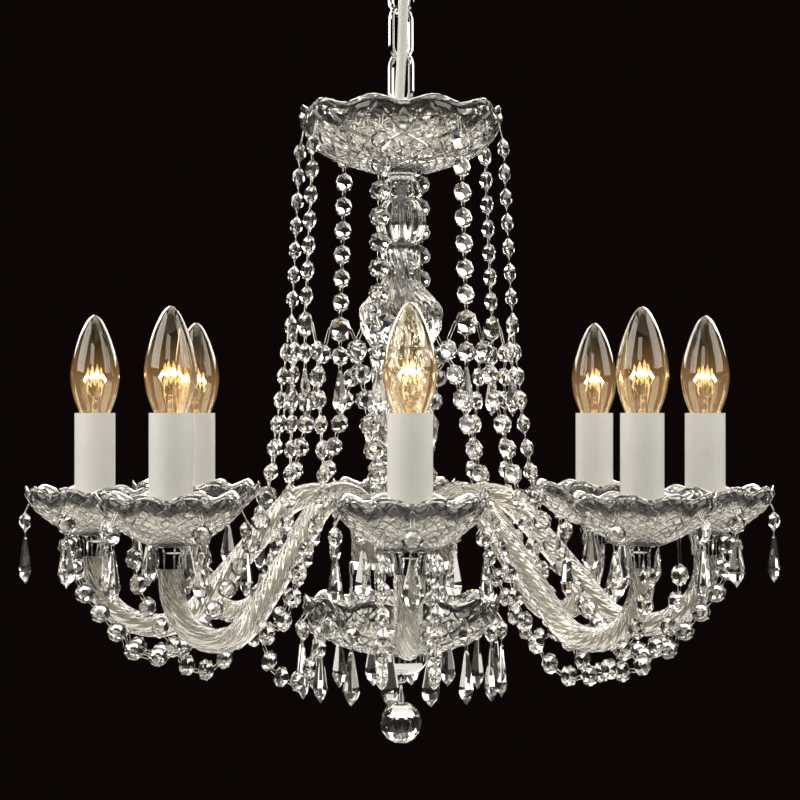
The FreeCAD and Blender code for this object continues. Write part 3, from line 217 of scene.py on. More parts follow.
chrome = metal("polished_chrome_plate", "#E4E6E8", 0.06, 3, 0.01)
nickel = metal("nickel_wire", "#D9D8D2", 0.16, 1, 0.01)
zinc_steel = metal("zinc_plated_steel", "#BDBFC0", 0.3, 2, 0.02)
candle_plastic = plastic("moulded_candle_tube", "#EFEEE9", "#E7E6E0", 0.34, 0.35, 12)
white_plastic = plastic("moulded_white_nylon", "#E9E8E4", "#DEDDD8", 0.45, 0.1, 6)
cable_sheath = plastic("white_cable_sheath", "#E6E5E0", "#DBDAD4", 0.38, 0.15, 9)
wire_sheath = plastic("cream_wire_sheath", "#F0EBDC", "#E8E2D0", 0.45, 0.1, 8)
washer_plastic = plastic("clear_washer", "#D9DBDB", "#CDCFCF", 0.4, 0.1, 3)
painted_steel = plastic("white_painted_steel", "#E2E1DD", "#D8D7D2", 0.4, 0.2, 4)
print("metals and plastics ready")

# %% [markdown]
# ## Supply cable
# The white cable leaves the terminal block in the ceiling rose and winds loosely beside the chain
# into the cap of the top dish. It is one smooth spline, as a stiff round cable lies. The chain below
# it can swing at four places, and the cable is cut into four lengths of equal length.

# %% Cable route and its four lengths
CABLE_DIAMETER = 0.0068
CABLE_ROUTE = [(0, -0.016, -0.0208), (0.0004, -0.0142, -0.045), (0.0014, -0.0125, -0.070),
               (0.0006, -0.0104, -0.106), (-0.0016, -0.0112, -0.143), (-0.0022, -0.0148, -0.165),
               (-0.0022, -0.015, -0.1845)]


def smooth_route(points, steps):
    """The points along a NURBS spline that has the route's points as its control points."""
    curve = bpy.data.curves.new("route", "CURVE")
    curve.dimensions = "3D"
    curve.resolution_u = steps
    spline = curve.splines.new("NURBS")
    spline.points.add(len(points) - 1)
    for place, point in zip(points, spline.points):
        point.co = (*place, 1)
    spline.order_u = 3
    spline.use_endpoint_u = True
    holder = bpy.data.objects.new("route", curve)
    line = bpy.data.meshes.new_from_object(holder)
    places = [vertex.co.copy() for vertex in line.vertices]
    bpy.data.objects.remove(holder)
    bpy.data.curves.remove(curve)
    bpy.data.meshes.remove(line)
    return places


def skin_rings(rings, closed=False):
    """A bmesh skinned over rings of points; a closed row joins its last ring to its first."""
    bm = bmesh.new()
    rows = [[bm.verts.new(point) for point in ring] for ring in rings]
    pairs = list(zip(rows, rows[1:]))
    if closed:
        pairs.append((rows[-1], rows[0]))
    for low, high in pairs:
        count = max(len(low), len(high))
        for index in range(count):
            following = (index + 1) % count
            if len(low) == 1:
                bm.faces.new((low[0], high[following], high[index]))
            elif len(high) == 1:
                bm.faces.new((low[index], low[following], high[0]))
            else:
                bm.faces.new((low[index], low[following], high[following], high[index]))
    if not closed:
        for row in (rows[0], rows[-1]):
            if len(row) > 2:
                bm.faces.new(row)
    bmesh.ops.recalc_face_normals(bm, faces=bm.faces)
    return bm


def mesh_from(bm, name, smooth=False, sharp_degrees=None):
    """A mesh from a bmesh, flat or smooth, with edges sharper than an angle kept sharp."""
    mesh = bpy.data.meshes.new(name)
    for face in bm.faces:
        face.smooth = smooth
    bm.to_mesh(mesh)
    bm.free()
    if smooth and sharp_degrees is not None:
        mesh.set_sharp_from_angle(angle=math.radians(sharp_degrees))
    return mesh


def tube_along(places, radius, sides):
    """Rings of points round a row of places, each ring square to the way."""
    rings = []
    side = Vector((1, 0, 0))
    for index, place in enumerate(places):
        before = places[max(index - 1, 0)]
        after = places[min(index + 1, len(places) - 1)]
        heading = (after - before).normalized()
        side = (side - heading * side.dot(heading)).normalized()
        other = heading.cross(side)
        ring = []
        for step in range(sides):
            angle = 2 * math.pi * step / sides
            ring.append(place + (side * math.cos(angle) + other * math.sin(angle)) * radius)
        rings.append(ring)
    return rings


cable_line = smooth_route(CABLE_ROUTE, 24)
cable_total = sum((b - a).length for a, b in zip(cable_line, cable_line[1:]))


def length_between(places, start, end):
    """The part of a line between two distances along it, ends included."""
    part = []
    travelled = 0.0
    for a, b in zip(places, places[1:]):
        step = (b - a).length
        for mark in (start, end):
            if travelled <= mark <= travelled + step and step > 0:
                cut = a + (b - a) * ((mark - travelled) / step)
                if not part or (part[-1] - cut).length > 1e-7:
                    part.append(cut)
        if start < travelled + step < end:
            if (part[-1] - b).length > 1e-7:
                part.append(b.copy())
        travelled += step
    return part


cable_joins = [("ceiling_fitting", "link_1", "hook_swing"), ("link_1", "link_2", "link_1_swing"),
               ("link_2", "link_3", "link_2_swing"), ("link_3", "chandelier", "loop_swing")]
for index, (upper, lower, joint) in enumerate(cable_joins):
    part = length_between(cable_line, cable_total * index / 4, cable_total * (index + 1) / 4)
    bm = skin_rings(tube_along(part, CABLE_DIAMETER / 2, 20))
    piece = add_object("supply_cable_%d" % (index + 1), mesh_from(bm, "cable", True, 60), cable_sheath)
    top, bottom = part[0], part[-1]
    if index == 0:
        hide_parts("supply_cable")
    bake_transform(piece)
print("cable", round(cable_total, 4), "m in", len(cable_joins), "lengths")

# %% [markdown]
# ## Turned metal and plastic
# The rose, cups, hub and candle tubes have their final shape in the frame. Their triangles are loose
# there, which would make a chromed cylinder look cut, so each gets a merged copy with smooth faces
# and sharp real edges.

# %% Smooth copies of the turned pieces
SHARP_EDGE = 35    # degrees


def polished_copy(node, material, body):
    """A merged, smooth copy of a CAD node that stands for it."""
    bm = bmesh.new()
    bm.from_mesh(cad_nodes[node].data)
    bmesh.ops.remove_doubles(bm, verts=bm.verts, dist=2e-6)
    piece = add_object(node + "_finished", mesh_from(bm, node, True, SHARP_EDGE), material)
    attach(piece, body)
    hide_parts(node)


finished = [
    ("ceiling_rose", chrome, "chrome_metal", "rose"),
    ("ceiling_plate", painted_steel, "plate_steel", "ceiling_fitting"),
    ("ceiling_hook", zinc_steel, "chrome_metal", "ceiling_fitting"),
    ("terminal_block", white_plastic, "block_plastic", "ceiling_fitting"),
    ("chain_link_1", chrome, "chrome_metal", "link_1"),
    ("chain_link_2", chrome, "chrome_metal", "link_2"),
    ("chain_link_3", chrome, "chrome_metal", "link_3"),
    ("top_loop", chrome, "chrome_metal", "chandelier"),
    ("top_cap", chrome, "chrome_metal", "chandelier"),
    ("centre_rod", zinc_steel, "rod_steel", "chandelier"),
    ("dish_collar", chrome, "chrome_metal", "chandelier"),
    ("stem_washers", washer_plastic, "washer_plastic", "chandelier"),
    ("hub_lid", chrome, "chrome_metal", "chandelier"),
    ("hub_drum", chrome, "chrome_metal", "chandelier"),
    ("base_nut", zinc_steel, "rod_steel", "chandelier"),
    ("bottom_cap", chrome, "chrome_metal", "chandelier"),
    ("arm_ferrules", chrome, "chrome_metal", "chandelier"),
    ("arm_cups", chrome, "chrome_metal", "chandelier"),
    ("arm_wires", wire_sheath, "wire_sheath", "chandelier"),
    ("lampholders", white_plastic, "block_plastic", "chandelier"),
    ("candle_sleeves", candle_plastic, "candle_plastic", "chandelier"),
    ("finial_ring", chrome, "chrome_metal", "finial"),
]
for node, material, slot_name, body in finished:
    polished_copy(node, material, body)
print(len(finished), "smooth copies")

# %% [markdown]
# ## Reading the strings of beads from the frame
# The frame holds every bead as a plain eight-sided solid and every wire link as a slim spindle. Each
# solid is read as a loose group of corners. A bead's two points nearest its middle are the tips of
# its flat sides, and a corner that a link's end touches is a drilled hole. That gives the place and
# the turn of every bead, so a finer bead can sit exactly there.

# %% Loose solids, beads, drops and links


def loose_solids(node):
    """The corner points of each separate solid of a CAD node."""
    bm = bmesh.new()
    bm.from_mesh(cad_nodes[node].data)
    bmesh.ops.remove_doubles(bm, verts=bm.verts, dist=1e-5)
    bm.verts.ensure_lookup_table()
    seen = set()
    groups = []
    for vertex in bm.verts:
        if vertex.index in seen:
            continue
        stack = [vertex]
        seen.add(vertex.index)
        group = []
        while stack:
            here = stack.pop()
            group.append(here.co.copy())
            for edge in here.link_edges:
                other = edge.other_vert(here)
                if other.index not in seen:
                    seen.add(other.index)
                    stack.append(other)
        groups.append(group)
    bm.free()
    return groups


def farthest_pair(points):
    """The two points that lie farthest apart."""
    best = max(((a - b).length, i, j) for i, a in enumerate(points) for j, b in enumerate(points[:i]))
    return points[best[1]], points[best[2]]


link_ends = [farthest_pair(group) for group in loose_solids("trim_pins")]
end_tree = kdtree.KDTree(2 * len(link_ends))
for index, (a, b) in enumerate(link_ends):
    end_tree.insert(a, 2 * index)
    end_tree.insert(b, 2 * index + 1)
end_tree.balance()


BEAD_CORNERS = 10            # eight round the rim and one on each flat side
OCTAGON_RADIUS = 8.5 * MM    # what is larger is an octagon and not a bead


def read_bead(points):
    """(middle, facing, hole direction, radius) of a bead, or None where it is a drop."""
    if len(points) != BEAD_CORNERS:
        return None
    middle = sum(points, Vector()) / len(points)
    tip, other_tip, *rim = sorted(points, key=lambda point: (point - middle).length)
    radius = (rim[-1] - middle).length
    hole = min(rim, key=lambda point: end_tree.find(point)[2])
    return middle, (tip - other_tip).normalized(), (hole - middle).normalized(), radius


beads, octagons, drops = [], [], []
for node in ("strand_beads", "swag_beads", "pendant_drops"):
    for points in loose_solids(node):
        bead = read_bead(points)
        if bead is None:
            drops.append(points)
        elif bead[3] > OCTAGON_RADIUS:
            octagons.append(bead)
        else:
            beads.append(bead)
print(len(beads), "beads,", len(octagons), "octagons,", len(drops), "drops,", len(link_ends), "links")

# %% [markdown]
# ## Cutting the crystals
# A machine-cut bead has a flat table on each face, a ring of triangular facets round it and a thin
# girdle. A pendant drop has a flat front, bevelled sides and a short point. They are repeated
# hundreds of times, so each has only a few dozen faces.

# %% Bead, drop and wire link


def turned_ring(count, radius, height, start=0.0):
    """Points round the X axis: a cut crystal faces along X and hangs along Z."""
    ring = []
    for step in range(count):
        angle = 2 * math.pi * (step + start) / count
        ring.append(Vector((height, radius * math.sin(angle), radius * math.cos(angle))))
    return ring


def facet_band(bm, inner, outer):
    """Sixteen triangles between an inner octagon and an outer one turned by half a step."""
    count = len(inner)
    for step in range(count):
        following = (step + 1) % count
        bm.faces.new((inner[step], inner[following], outer[following]))
        bm.faces.new((inner[step], outer[following], outer[step]))


def cut_bead(name, radius_mm, thickness_mm):
    """A bead with a table, star facets and a girdle on each side."""
    radius, half = radius_mm * MM, thickness_mm * MM / 2
    bm = bmesh.new()
    girdles = []
    for side in (1, -1):
        table = [bm.verts.new(p) for p in turned_ring(8, radius * 0.46, side * half, 0.5)]
        girdle = [bm.verts.new(p) for p in turned_ring(8, radius, side * half * 0.14)]
        bm.faces.new(table)
        facet_band(bm, table, girdle)
        girdles.append(girdle)
    for step in range(8):
        following = (step + 1) % 8
        bm.faces.new((girdles[0][step], girdles[0][following], girdles[1][following], girdles[1][step]))
    bmesh.ops.recalc_face_normals(bm, faces=bm.faces)
    return mesh_from(bm, name)


def cut_drop(name, length_mm, width_mm, point_mm):
    """A pendant: a small top, long bevelled sides, and a faceted point."""
    thick = 0.62 * width_mm
    levels = [(0.0, 0.12), (-1.5, 0.3), (point_mm - length_mm, 1.0),
              (point_mm * 0.55 - length_mm, 0.72), (-length_mm, 0.0)]
    rings = []
    for height, share in levels:
        if share == 0:
            rings.append([Vector((0, 0, height * MM))])
            continue
        x, y = thick / 2 * share * MM, width_mm / 2 * share * MM
        rings.append([Vector((a * x, b * y, height * MM)) for a, b in
                      ((1, -0.45), (1, 0.45), (0, 1), (-1, 0.45), (-1, -0.45), (0, -1))])
    return mesh_from(skin_rings(rings), name)


LINK_MM = 6    # about how long a wire link is


def wire_link(name, width_mm, wire_mm):
    """A closed wire link, one unit long along Z, that joins two beads through their holes."""
    corners, bend = 10, 0.16
    line = []
    for step in range(corners):
        angle = 2 * math.pi * step / corners
        rise = math.copysign(0.5 - bend, math.cos(angle)) + bend * math.cos(angle)
        line.append(Vector((0, math.sin(angle) * width_mm * MM / 2, rise)))
    rings = []
    for index, place in enumerate(line):
        heading = line[(index + 1) % corners] - line[index - 1]
        heading = Vector((0, heading.y / MM, heading.z * LINK_MM)).normalized()
        across = Vector((1, 0, 0)).cross(heading)
        ring = []
        for step in range(4):
            angle = math.pi / 2 * step
            offset = Vector((1, 0, 0)) * math.cos(angle) + across * math.sin(angle)
            ring.append(place + Vector((offset.x, offset.y, offset.z / LINK_MM)) * wire_mm * MM / 2)
        rings.append(ring)
    return mesh_from(skin_rings(rings, closed=True), name, True)


bead_mesh = cut_bead("cut_bead", 7.2, 7.4)
octagon_mesh = cut_bead("cut_octagon", 9.4, 8)
short_drop_mesh = cut_drop("cut_drop", 34, 13.6, 10)
long_drop_mesh = cut_drop("cut_long_drop", 38, 13.6, 10)
link_mesh = wire_link("wire_link", 2.3, 0.65)
print("bead faces", len(bead_mesh.polygons), "drop faces", len(short_drop_mesh.polygons),
      "link faces", len(link_mesh.polygons))

# %% [markdown]
# ## Hanging the crystals with Geometry Nodes
# One tree puts a crystal on every point of a cloud and turns and stretches it by two attributes that
# the points carry. It realizes the copies, because an exported model can't hold instances, and sets
# their material. The result is turned into a plain mesh, one for each kind of crystal.

# %% The tree that hangs crystals on points


def new_tree(name, inputs):
    """A geometry tree with named inputs and one geometry output."""
    tree = bpy.data.node_groups.new(name, "GeometryNodeTree")
    tree.interface.new_socket("Geometry", in_out="INPUT", socket_type="NodeSocketGeometry")
    for title, kind, value in inputs:
        socket = tree.interface.new_socket(title, in_out="INPUT", socket_type=kind)
        if value is not None:
            socket.default_value = value
    tree.interface.new_socket("Geometry", in_out="OUTPUT", socket_type="NodeSocketGeometry")
    return tree, add_node(tree, "NodeGroupInput"), add_node(tree, "NodeGroupOutput")


def run_tree(holder, tree, values, name):
    """Run a tree on an object, keep the result as a plain mesh, and remove the object."""
    modifier = holder.modifiers.new(tree.name, "NODES")
    modifier.node_group = tree
    for item in tree.interface.items_tree:
        if item.item_type == "SOCKET" and item.in_out == "INPUT" and item.name in values:
            modifier[item.identifier] = values[item.name]
    bpy.context.view_layer.update()
    evaluated = holder.evaluated_get(bpy.context.evaluated_depsgraph_get())
    mesh = bpy.data.meshes.new_from_object(evaluated)
    mesh.name = name
    old = holder.data
    bpy.data.objects.remove(holder)
    if isinstance(old, bpy.types.Mesh):
        bpy.data.meshes.remove(old)
    result = bpy.data.objects.new(name, mesh)
    bpy.context.scene.collection.objects.link(result)
    return result


hang_tree, hang_in, hang_out = new_tree("hang_on_points", [
    ("Crystal", "NodeSocketObject", None), ("Material", "NodeSocketMaterial", None)])
crystal = add_node(hang_tree, "GeometryNodeObjectInfo", {"Object": hang_in.outputs["Crystal"]})
turn, stretch = (add_node(hang_tree, "GeometryNodeInputNamedAttribute", {"Name": name},
                          data_type="FLOAT_VECTOR").outputs["Attribute"]
                 for name in ("turn", "stretch"))
rotation = add_node(hang_tree, "FunctionNodeEulerToRotation", {"Euler": turn})
hung = add_node(hang_tree, "GeometryNodeInstanceOnPoints", {
    "Points": hang_in.outputs["Geometry"], "Instance": crystal.outputs["Geometry"],
    "Rotation": rotation.outputs["Rotation"], "Scale": stretch})
solid = add_node(hang_tree, "GeometryNodeRealizeInstances", {"Geometry": hung.outputs["Instances"]})
coated = add_node(hang_tree, "GeometryNodeSetMaterial", {
    "Geometry": solid.outputs["Geometry"], "Material": hang_in.outputs["Material"]})
hang_tree.links.new(coated.outputs["Geometry"], hang_out.inputs["Geometry"])


def hang_pieces(name, crystal_mesh, rows, material, body, nodes):
    """Copies of a crystal at (place, X axis, Z axis, stretch) rows, as one finished piece."""
    cloud = bpy.data.meshes.new(name + "_points")
    cloud.from_pydata([row[0] for row in rows], [], [])
    turns = cloud.attributes.new("turn", "FLOAT_VECTOR", "POINT")
    sizes = cloud.attributes.new("stretch", "FLOAT_VECTOR", "POINT")
    for index, (place, x_axis, z_axis, size) in enumerate(rows):
        z_axis = z_axis.normalized()
        x_axis = (x_axis - z_axis * x_axis.dot(z_axis)).normalized()
        y_axis = z_axis.cross(x_axis)
        matrix = Matrix((x_axis, y_axis, z_axis)).transposed()
        turns.data[index].vector = matrix.to_euler("XYZ")
        sizes.data[index].vector = size
    template = add_object(name + "_template", crystal_mesh, material)
    holder = add_object(name + "_holder", cloud)
    piece = run_tree(holder, hang_tree, {"Crystal": template, "Material": material}, name)
    bpy.data.objects.remove(template)
    for attribute in ("turn", "stretch"):
        if attribute in piece.data.attributes:
            piece.data.attributes.remove(piece.data.attributes[attribute])
    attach(piece, body)
    if nodes:
        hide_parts(*nodes)
    print(name, len(rows), "copies,", len(piece.data.polygons), "faces")


# %% Beads, drops and links in place
ONE = Vector((1, 1, 1))
hang_pieces("crystal_beads", bead_mesh, [(*bead[:3], ONE) for bead in beads], cut_crystal,
            "chandelier", ("strand_beads", "swag_beads"))
hang_pieces("crystal_octagons", octagon_mesh, [(*bead[:3], ONE) for bead in octagons], cut_crystal,
            "chandelier", ())
LONG_DROP = 36 * MM    # what is longer hangs under the lower dish
REACH_IN = 1.7 * MM    # how far a link's end goes into a bead


def read_drop(points):
    """(top, facing, up, length) of a drop from its six corners."""
    a, b = farthest_pair(points)
    top, tip = (a, b) if a.z > b.z else (b, a)
    waist = sorted((point for point in points if point not in (a, b)),
                   key=lambda point: (point - (top + tip) / 2).to_2d().length)
    facing = waist[0] - waist[1]
    return top, facing, top - tip, (top - tip).length


short_rows, long_rows = [], []
for points in drops:
    top, facing, up, length = read_drop(points)
    (long_rows if length > LONG_DROP else short_rows).append((top, facing, up, ONE))
hang_pieces("crystal_drops", short_drop_mesh, short_rows, cut_crystal, "chandelier",
            ("pendant_drops",))
hang_pieces("crystal_base_drops", long_drop_mesh, long_rows, cut_crystal, "chandelier",
            ())

all_beads = beads + octagons
bead_tree = kdtree.KDTree(len(all_beads))
for index, bead in enumerate(all_beads):
    bead_tree.insert(bead[0], index)
bead_tree.balance()
link_rows = []
for a, b in link_ends:
    along = b - a
    nearest = all_beads[bead_tree.find((a + b) / 2)[1]]
    link_rows.append(((a + b) / 2, nearest[1], along, Vector((1, 1, along.length + 2 * REACH_IN))))
hang_pieces("wire_links", link_mesh, link_rows, nickel, "chandelier", ("trim_pins",))

# %% [markdown]
# ## The ball
# The ball under the chandelier is cut all over with small triangular facets, in rows that are
# staggered by half a facet. Its faces stay flat.

# %% Faceted ball
ball_low, ball_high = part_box("finial_ball")
ball_middle = (Vector(ball_low) + Vector(ball_high)) / 2
ball_radius = (ball_high[2] - ball_low[2]) / 2
BALL_ROWS = 7
BALL_COLUMNS = 14
BALL_LATITUDE = 72    # degrees to the rows that end it
ball_bm = bmesh.new()
ball_rings = []
for row in range(BALL_ROWS):
    latitude = math.radians(-BALL_LATITUDE + 2 * BALL_LATITUDE * row / (BALL_ROWS - 1))
    ring = []
    for column in range(BALL_COLUMNS):
        bearing = 2 * math.pi * (column + 0.5 * (row % 2)) / BALL_COLUMNS
        level = math.cos(latitude)
        direction = Vector((level * math.cos(bearing), level * math.sin(bearing), math.sin(latitude)))
        ring.append(ball_bm.verts.new(ball_middle + direction * ball_radius))
    ball_rings.append(ring)
for row, (lower, upper) in enumerate(zip(ball_rings, ball_rings[1:])):
    for column in range(BALL_COLUMNS):
        following = (column + 1) % BALL_COLUMNS
        if row % 2 == 0:
            ball_bm.faces.new((lower[column], lower[following], upper[column]))
            ball_bm.faces.new((lower[following], upper[following], upper[column]))
        else:
            ball_bm.faces.new((lower[column], upper[following], upper[column]))
            ball_bm.faces.new((lower[column], lower[following], upper[following]))
ball_bm.faces.new(ball_rings[0])
ball_bm.faces.new(ball_rings[-1])
bmesh.ops.recalc_face_normals(ball_bm, faces=ball_bm.faces)
ball = add_object("cut_ball", mesh_from(ball_bm, "cut_ball"), cut_crystal)
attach(ball, "finial")
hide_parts("finial_ball")
print("ball of", len(ball.data.polygons), "facets")

# %% [markdown]
# ## Scalloped dishes
# The dishes are pressed crystal: a wavy rim with a plain band, and below it a lattice of flat-topped
# diamonds between crossing V-grooves. Only a real relief throws the sparkle of that lattice. The
# grooves run at a slant both ways, so with u counted round the dish and v down its side, they lie
# where u + v or u - v is a whole number. The height climbs steeply beside the nearer groove, then
# gently to the middle of the diamond. The rows get closer as the dish narrows, so that the diamonds
# keep their proportions, as on the real dish.

# %% The dish builder
ROD_HOLE = 5.6                   # radius, in millimetres
LOBES, LOBE_MM = 10, 2           # scallops round a rim, and how deep they are
CUTS = 8                         # facets across one diamond
ASPECT = 0.95                    # how tall a diamond is, as a share of its width
FLANK, CROWN = 0.65, 0.7         # how the relief's height is shared between steep and gentle
OUTWARD, DOWNWARD = 0.75, 0.6    # which way the relief stands
PLAIN_FOOT_MM = 4                # the band at the foot without cuts


def polar(radius, angle, height):
    """A point in metres from a radius, an angle and a height in millimetres."""
    return Vector((radius * math.cos(angle), radius * math.sin(angle), height)) * MM


def level_ring(radius, height, count):
    """A level ring of points round the axis."""
    return [polar(radius, 2 * math.pi * step / count, height) for step in range(count)]


def groove_distances(u, v):
    """How far a point is from the nearest groove of each slant, from 0 to 0.5."""
    return abs(u + v - round(u + v)), abs(u - v - round(u - v))


def line_at(profile, distance):
    """The (radius, height, share of the lobes) row at a distance along a profile."""
    for a, b in zip(profile, profile[1:]):
        length = math.hypot(b[0] - a[0], b[1] - a[1])
        if distance <= length:
            return tuple(p + (q - p) * distance / length for p, q in zip(a, b))
        distance -= length
    return profile[-1]


def dish_mesh(name, outer, inner, diamonds, relief_mm, plain_mm, wave_mm):
    """A dish from its outside and inside lines, rim first and in millimetres."""
    columns = CUTS * diamonds
    total = sum(math.hypot(b[0] - a[0], b[1] - a[1]) for a, b in zip(outer, outer[1:]))
    rows = [(*line_at(outer, 0), 0.0, False), (*line_at(outer, plain_mm * 0.5), 0.0, False)]
    distance, v = plain_mm, 0.0
    while distance < total - PLAIN_FOOT_MM:
        radius, height, share = line_at(outer, distance)
        rows.append((radius, height, share, v, True))
        distance += ASPECT * 2 * math.pi * radius / diamonds / CUTS
        v += 1 / CUTS
    last_cut = len(rows) - 1
    rows += [(*line_at(outer, total), 0.0, False)]
    rows += [(*row, 0.0, False) for row in reversed(inner)]
    rings = []
    for index, (radius, height, share, v, cut) in enumerate(rows):
        ring = []
        for column in range(columns):
            angle = 2 * math.pi * column / columns
            crest = math.cos(LOBES * angle)
            reach = radius + LOBE_MM * share * (crest - 1) / 2
            rise = height + wave_mm * share * crest
            if cut and 2 < index < last_cut:
                near = min(groove_distances(column / CUTS, v))
                proud = FLANK * min(1, CUTS * near) + CROWN * near
                reach += relief_mm * proud * OUTWARD
                rise -= relief_mm * proud * DOWNWARD
            ring.append(polar(reach, angle, rise))
        rings.append(ring)
    bm = skin_rings(rings, closed=True)
    squares = list(bm.faces)
    for index in range(2, last_cut):
        v = (rows[index][3] + rows[index + 1][3]) / 2
        for column in range(columns):
            along_sum, along_difference = groove_distances((column + 0.5) / CUTS, v)
            square = squares[index * columns + column]
            corners = list(square.verts)
            first = 1 if along_sum < along_difference else 0
            bmesh.utils.face_split(square, corners[first], corners[first + 2])
    bmesh.ops.triangulate(bm, faces=bm.faces)
    mesh = mesh_from(bm, name, True, 8)
    print(name, len(mesh.polygons), "faces,", last_cut - 2, "cut rows")
    return mesh


def wide_lines(radius, depth, wall, foot, hole):
    """The outside line of a large dish from rim to foot, and its inside line from foot to rim."""
    outer = rounded_line([(radius, depth, 1), (radius * 0.985, depth * 0.82, 1),
                          (radius * 0.93, depth * 0.57, 0.9), (radius * 0.778, depth * 0.33, 0.6),
                          (radius * 0.565, depth * 0.16, 0.3), (foot, 0, 0)], 5) + [(hole, 0, 0)]
    inner = rounded_line([(radius - wall * 0.3, depth + 0.9, 1), (radius - wall * 0.7, depth + 0.2, 1),
                          (radius * 0.965 - wall, depth * 0.66, 1),
                          (radius * 0.76 - wall * 0.5, depth * 0.35 + wall * 0.8, 0.6),
                          (radius * 0.55 - wall * 0.3, depth * 0.16 + wall, 0.3),
                          (foot - 0.5, wall, 0)], 3) + [(hole, wall, 0)]
    return outer, list(reversed(inner))


def rounded_line(points, steps):
    """Extra rows on a smooth curve through a row of points with any number of values each."""
    line = []
    ends = [points[0]] + list(points) + [points[-1]]
    for index in range(1, len(ends) - 2):
        for step in range(steps):
            t = step / steps
            line.append(tuple(
                0.5 * (2 * b + (c - a) * t + (2 * a - 5 * b + 4 * c - d) * t * t
                       + (3 * b - a - 3 * c + d) * t ** 3)
                for a, b, c, d in zip(*ends[index - 1:index + 3])))
    return line + [points[-1]]


def place_dish(name, mesh, place, node):
    """A copy of a dish mesh with its foot at a place, standing for a CAD node."""
    copy = mesh.copy()
    copy.transform(Matrix.Translation(place))
    piece = add_object(name, copy, pressed_crystal)
    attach(piece, "chandelier")
    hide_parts(node)


# %% The three kinds of dish
ARM_COUNT = 8
for node, radius, depth, relief_mm in (("top_dish", 72, 44, 2.4), ("lower_dish", 70, 39, 2.2)):
    outer, inner = wide_lines(radius, depth, 4, 18, ROD_HOLE)
    mesh = dish_mesh(node + "_glass", outer, inner, diamonds=24, relief_mm=relief_mm, plain_mm=4,
                     wave_mm=2.2)
    place_dish(node + "_cut", mesh, Vector((0, 0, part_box(node)[0][2])), node)
drip_outer = rounded_line([(50, 31, 1), (48.2, 25.5, 1), (44, 19.5, 0.9), (32, 9.6, 0.4),
                           (21, 3.4, 0.1), (13, 0, 0)], 4) + [(5.2, 0, 0)]
drip_inner = list(reversed(rounded_line([(49, 31.7, 1), (47.6, 31, 1), (43, 22, 0.9), (31, 12.4, 0.4),
                                         (16, 3.4, 0)], 3) + [(5.2, 3.4, 0)]))
drip_mesh = dish_mesh("drip_dish_glass", drip_outer, drip_inner, diamonds=28, relief_mm=1.8,
                      plain_mm=2.5, wave_mm=2)
for index in range(ARM_COUNT):
    low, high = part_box("drip_dish_%d" % (index + 1))
    middle = (Vector(low) + Vector(high)) / 2
    middle.z = low[2]
    place_dish("drip_dish_cut_%d" % (index + 1), drip_mesh, middle, "drip_dish_%d" % (index + 1))

# %% [markdown]
# ## Stem
# Five glass pieces are threaded on the rod. They are blown into moulds with upright gadroons, and
# the long neck and the belly are cut with small diamonds. Each is turned from its profile, and its
# radius swells and shrinks round the axis.

# %% Fluted stem glass


def stem_piece(name, node, profile, flutes, depth, turn_by=0.0, waves=0, wave_mm=0.0):
    """A stem glass on the rod: profile rows are (radius, height), bottom first.

    The flutes go round the axis and may lean, turn_by being how far round they get from bottom to
    top. The waves are finer cuts that cross them.
    """
    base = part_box(node)[0][2]
    rows = rounded_line(profile, 6)
    tall = rows[-1][1] - rows[0][1]
    columns = flutes * 8
    rings = [level_ring(ROD_HOLE, rows[0][1], columns)]
    for radius, height in rows:
        way = min(max((height - rows[0][1]) / tall, 0), 1)
        share = min(1, 6 * way, 6 * (1 - way))
        ring = []
        for column in range(columns):
            angle = 2 * math.pi * column / columns
            ridge = abs(math.cos(flutes * (angle + turn_by * way) / 2))
            reach = radius - depth * share * (1 - ridge)
            if waves:
                cross = abs(math.cos(flutes * (angle - turn_by * way) / 2 + waves * math.pi * way))
                reach -= wave_mm * share * (1 - cross)
            ring.append(polar(reach, angle, height))
        rings.append(ring)
    rings.append(level_ring(ROD_HOLE, rows[-1][1], columns))
    mesh = mesh_from(skin_rings(rings, closed=True), name, True, 30)
    mesh.transform(Matrix.Translation((0, 0, base)))
    piece = add_object(name, mesh, stem_glass)
    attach(piece, "chandelier")
    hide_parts(node)
    print(name, len(mesh.polygons), "faces")


stem_piece("tulip_cut", "stem_tulip", [(12.5, 0), (15.6, 4), (13.8, 8), (12, 13)], 12, 2.4)
stem_piece("melon_cut", "stem_melon",
           [(11.2, 0), (15.4, 5), (17.6, 11), (17.8, 17), (16.2, 23), (11.6, 31)], 16, 2.4)
stem_piece("bottle_cut", "stem_bottle",
           [(22, 0), (28, 10), (30.4, 21), (29.4, 28), (25, 34), (18.6, 40), (15, 46), (14, 56),
            (14.2, 65), (16, 72)], 22, 1.6, turn_by=0.5, waves=9, wave_mm=1.4)
stem_piece("bell_cut", "stem_bell",
           [(18.6, 0), (24.5, 7), (26.6, 18), (24, 28), (20.6, 38), (20.6, 50), (22, 64), (22.5, 76)],
           20, 1.6, turn_by=0.4, waves=8, wave_mm=1.3)
stem_piece("foot_cut", "stem_foot",
           [(15.5, 0), (15.5, 5), (11.8, 12), (13.5, 25), (15.5, 45), (14, 65), (12.6, 77), (17, 84)],
           12, 1.3, turn_by=0.3, waves=4, wave_mm=0.6)

# %% [markdown]
# ## Twisted arms
# Each arm is a hot glass tube with ribs that was twisted while it was bent, with a bore for the wire.
# The arm follows one rule, a ribbed section carried along a bent line and turned steadily, so it is
# made with Geometry Nodes: a curve with tilt, and Curve to Mesh. A negative number of turns is a
# left-handed twist, which the photograph shows. The tree then sets eight copies round the axis.

# %% The arm's line
hub_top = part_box("hub_lid")[1][2] / MM
arm_end = hub_top + 19


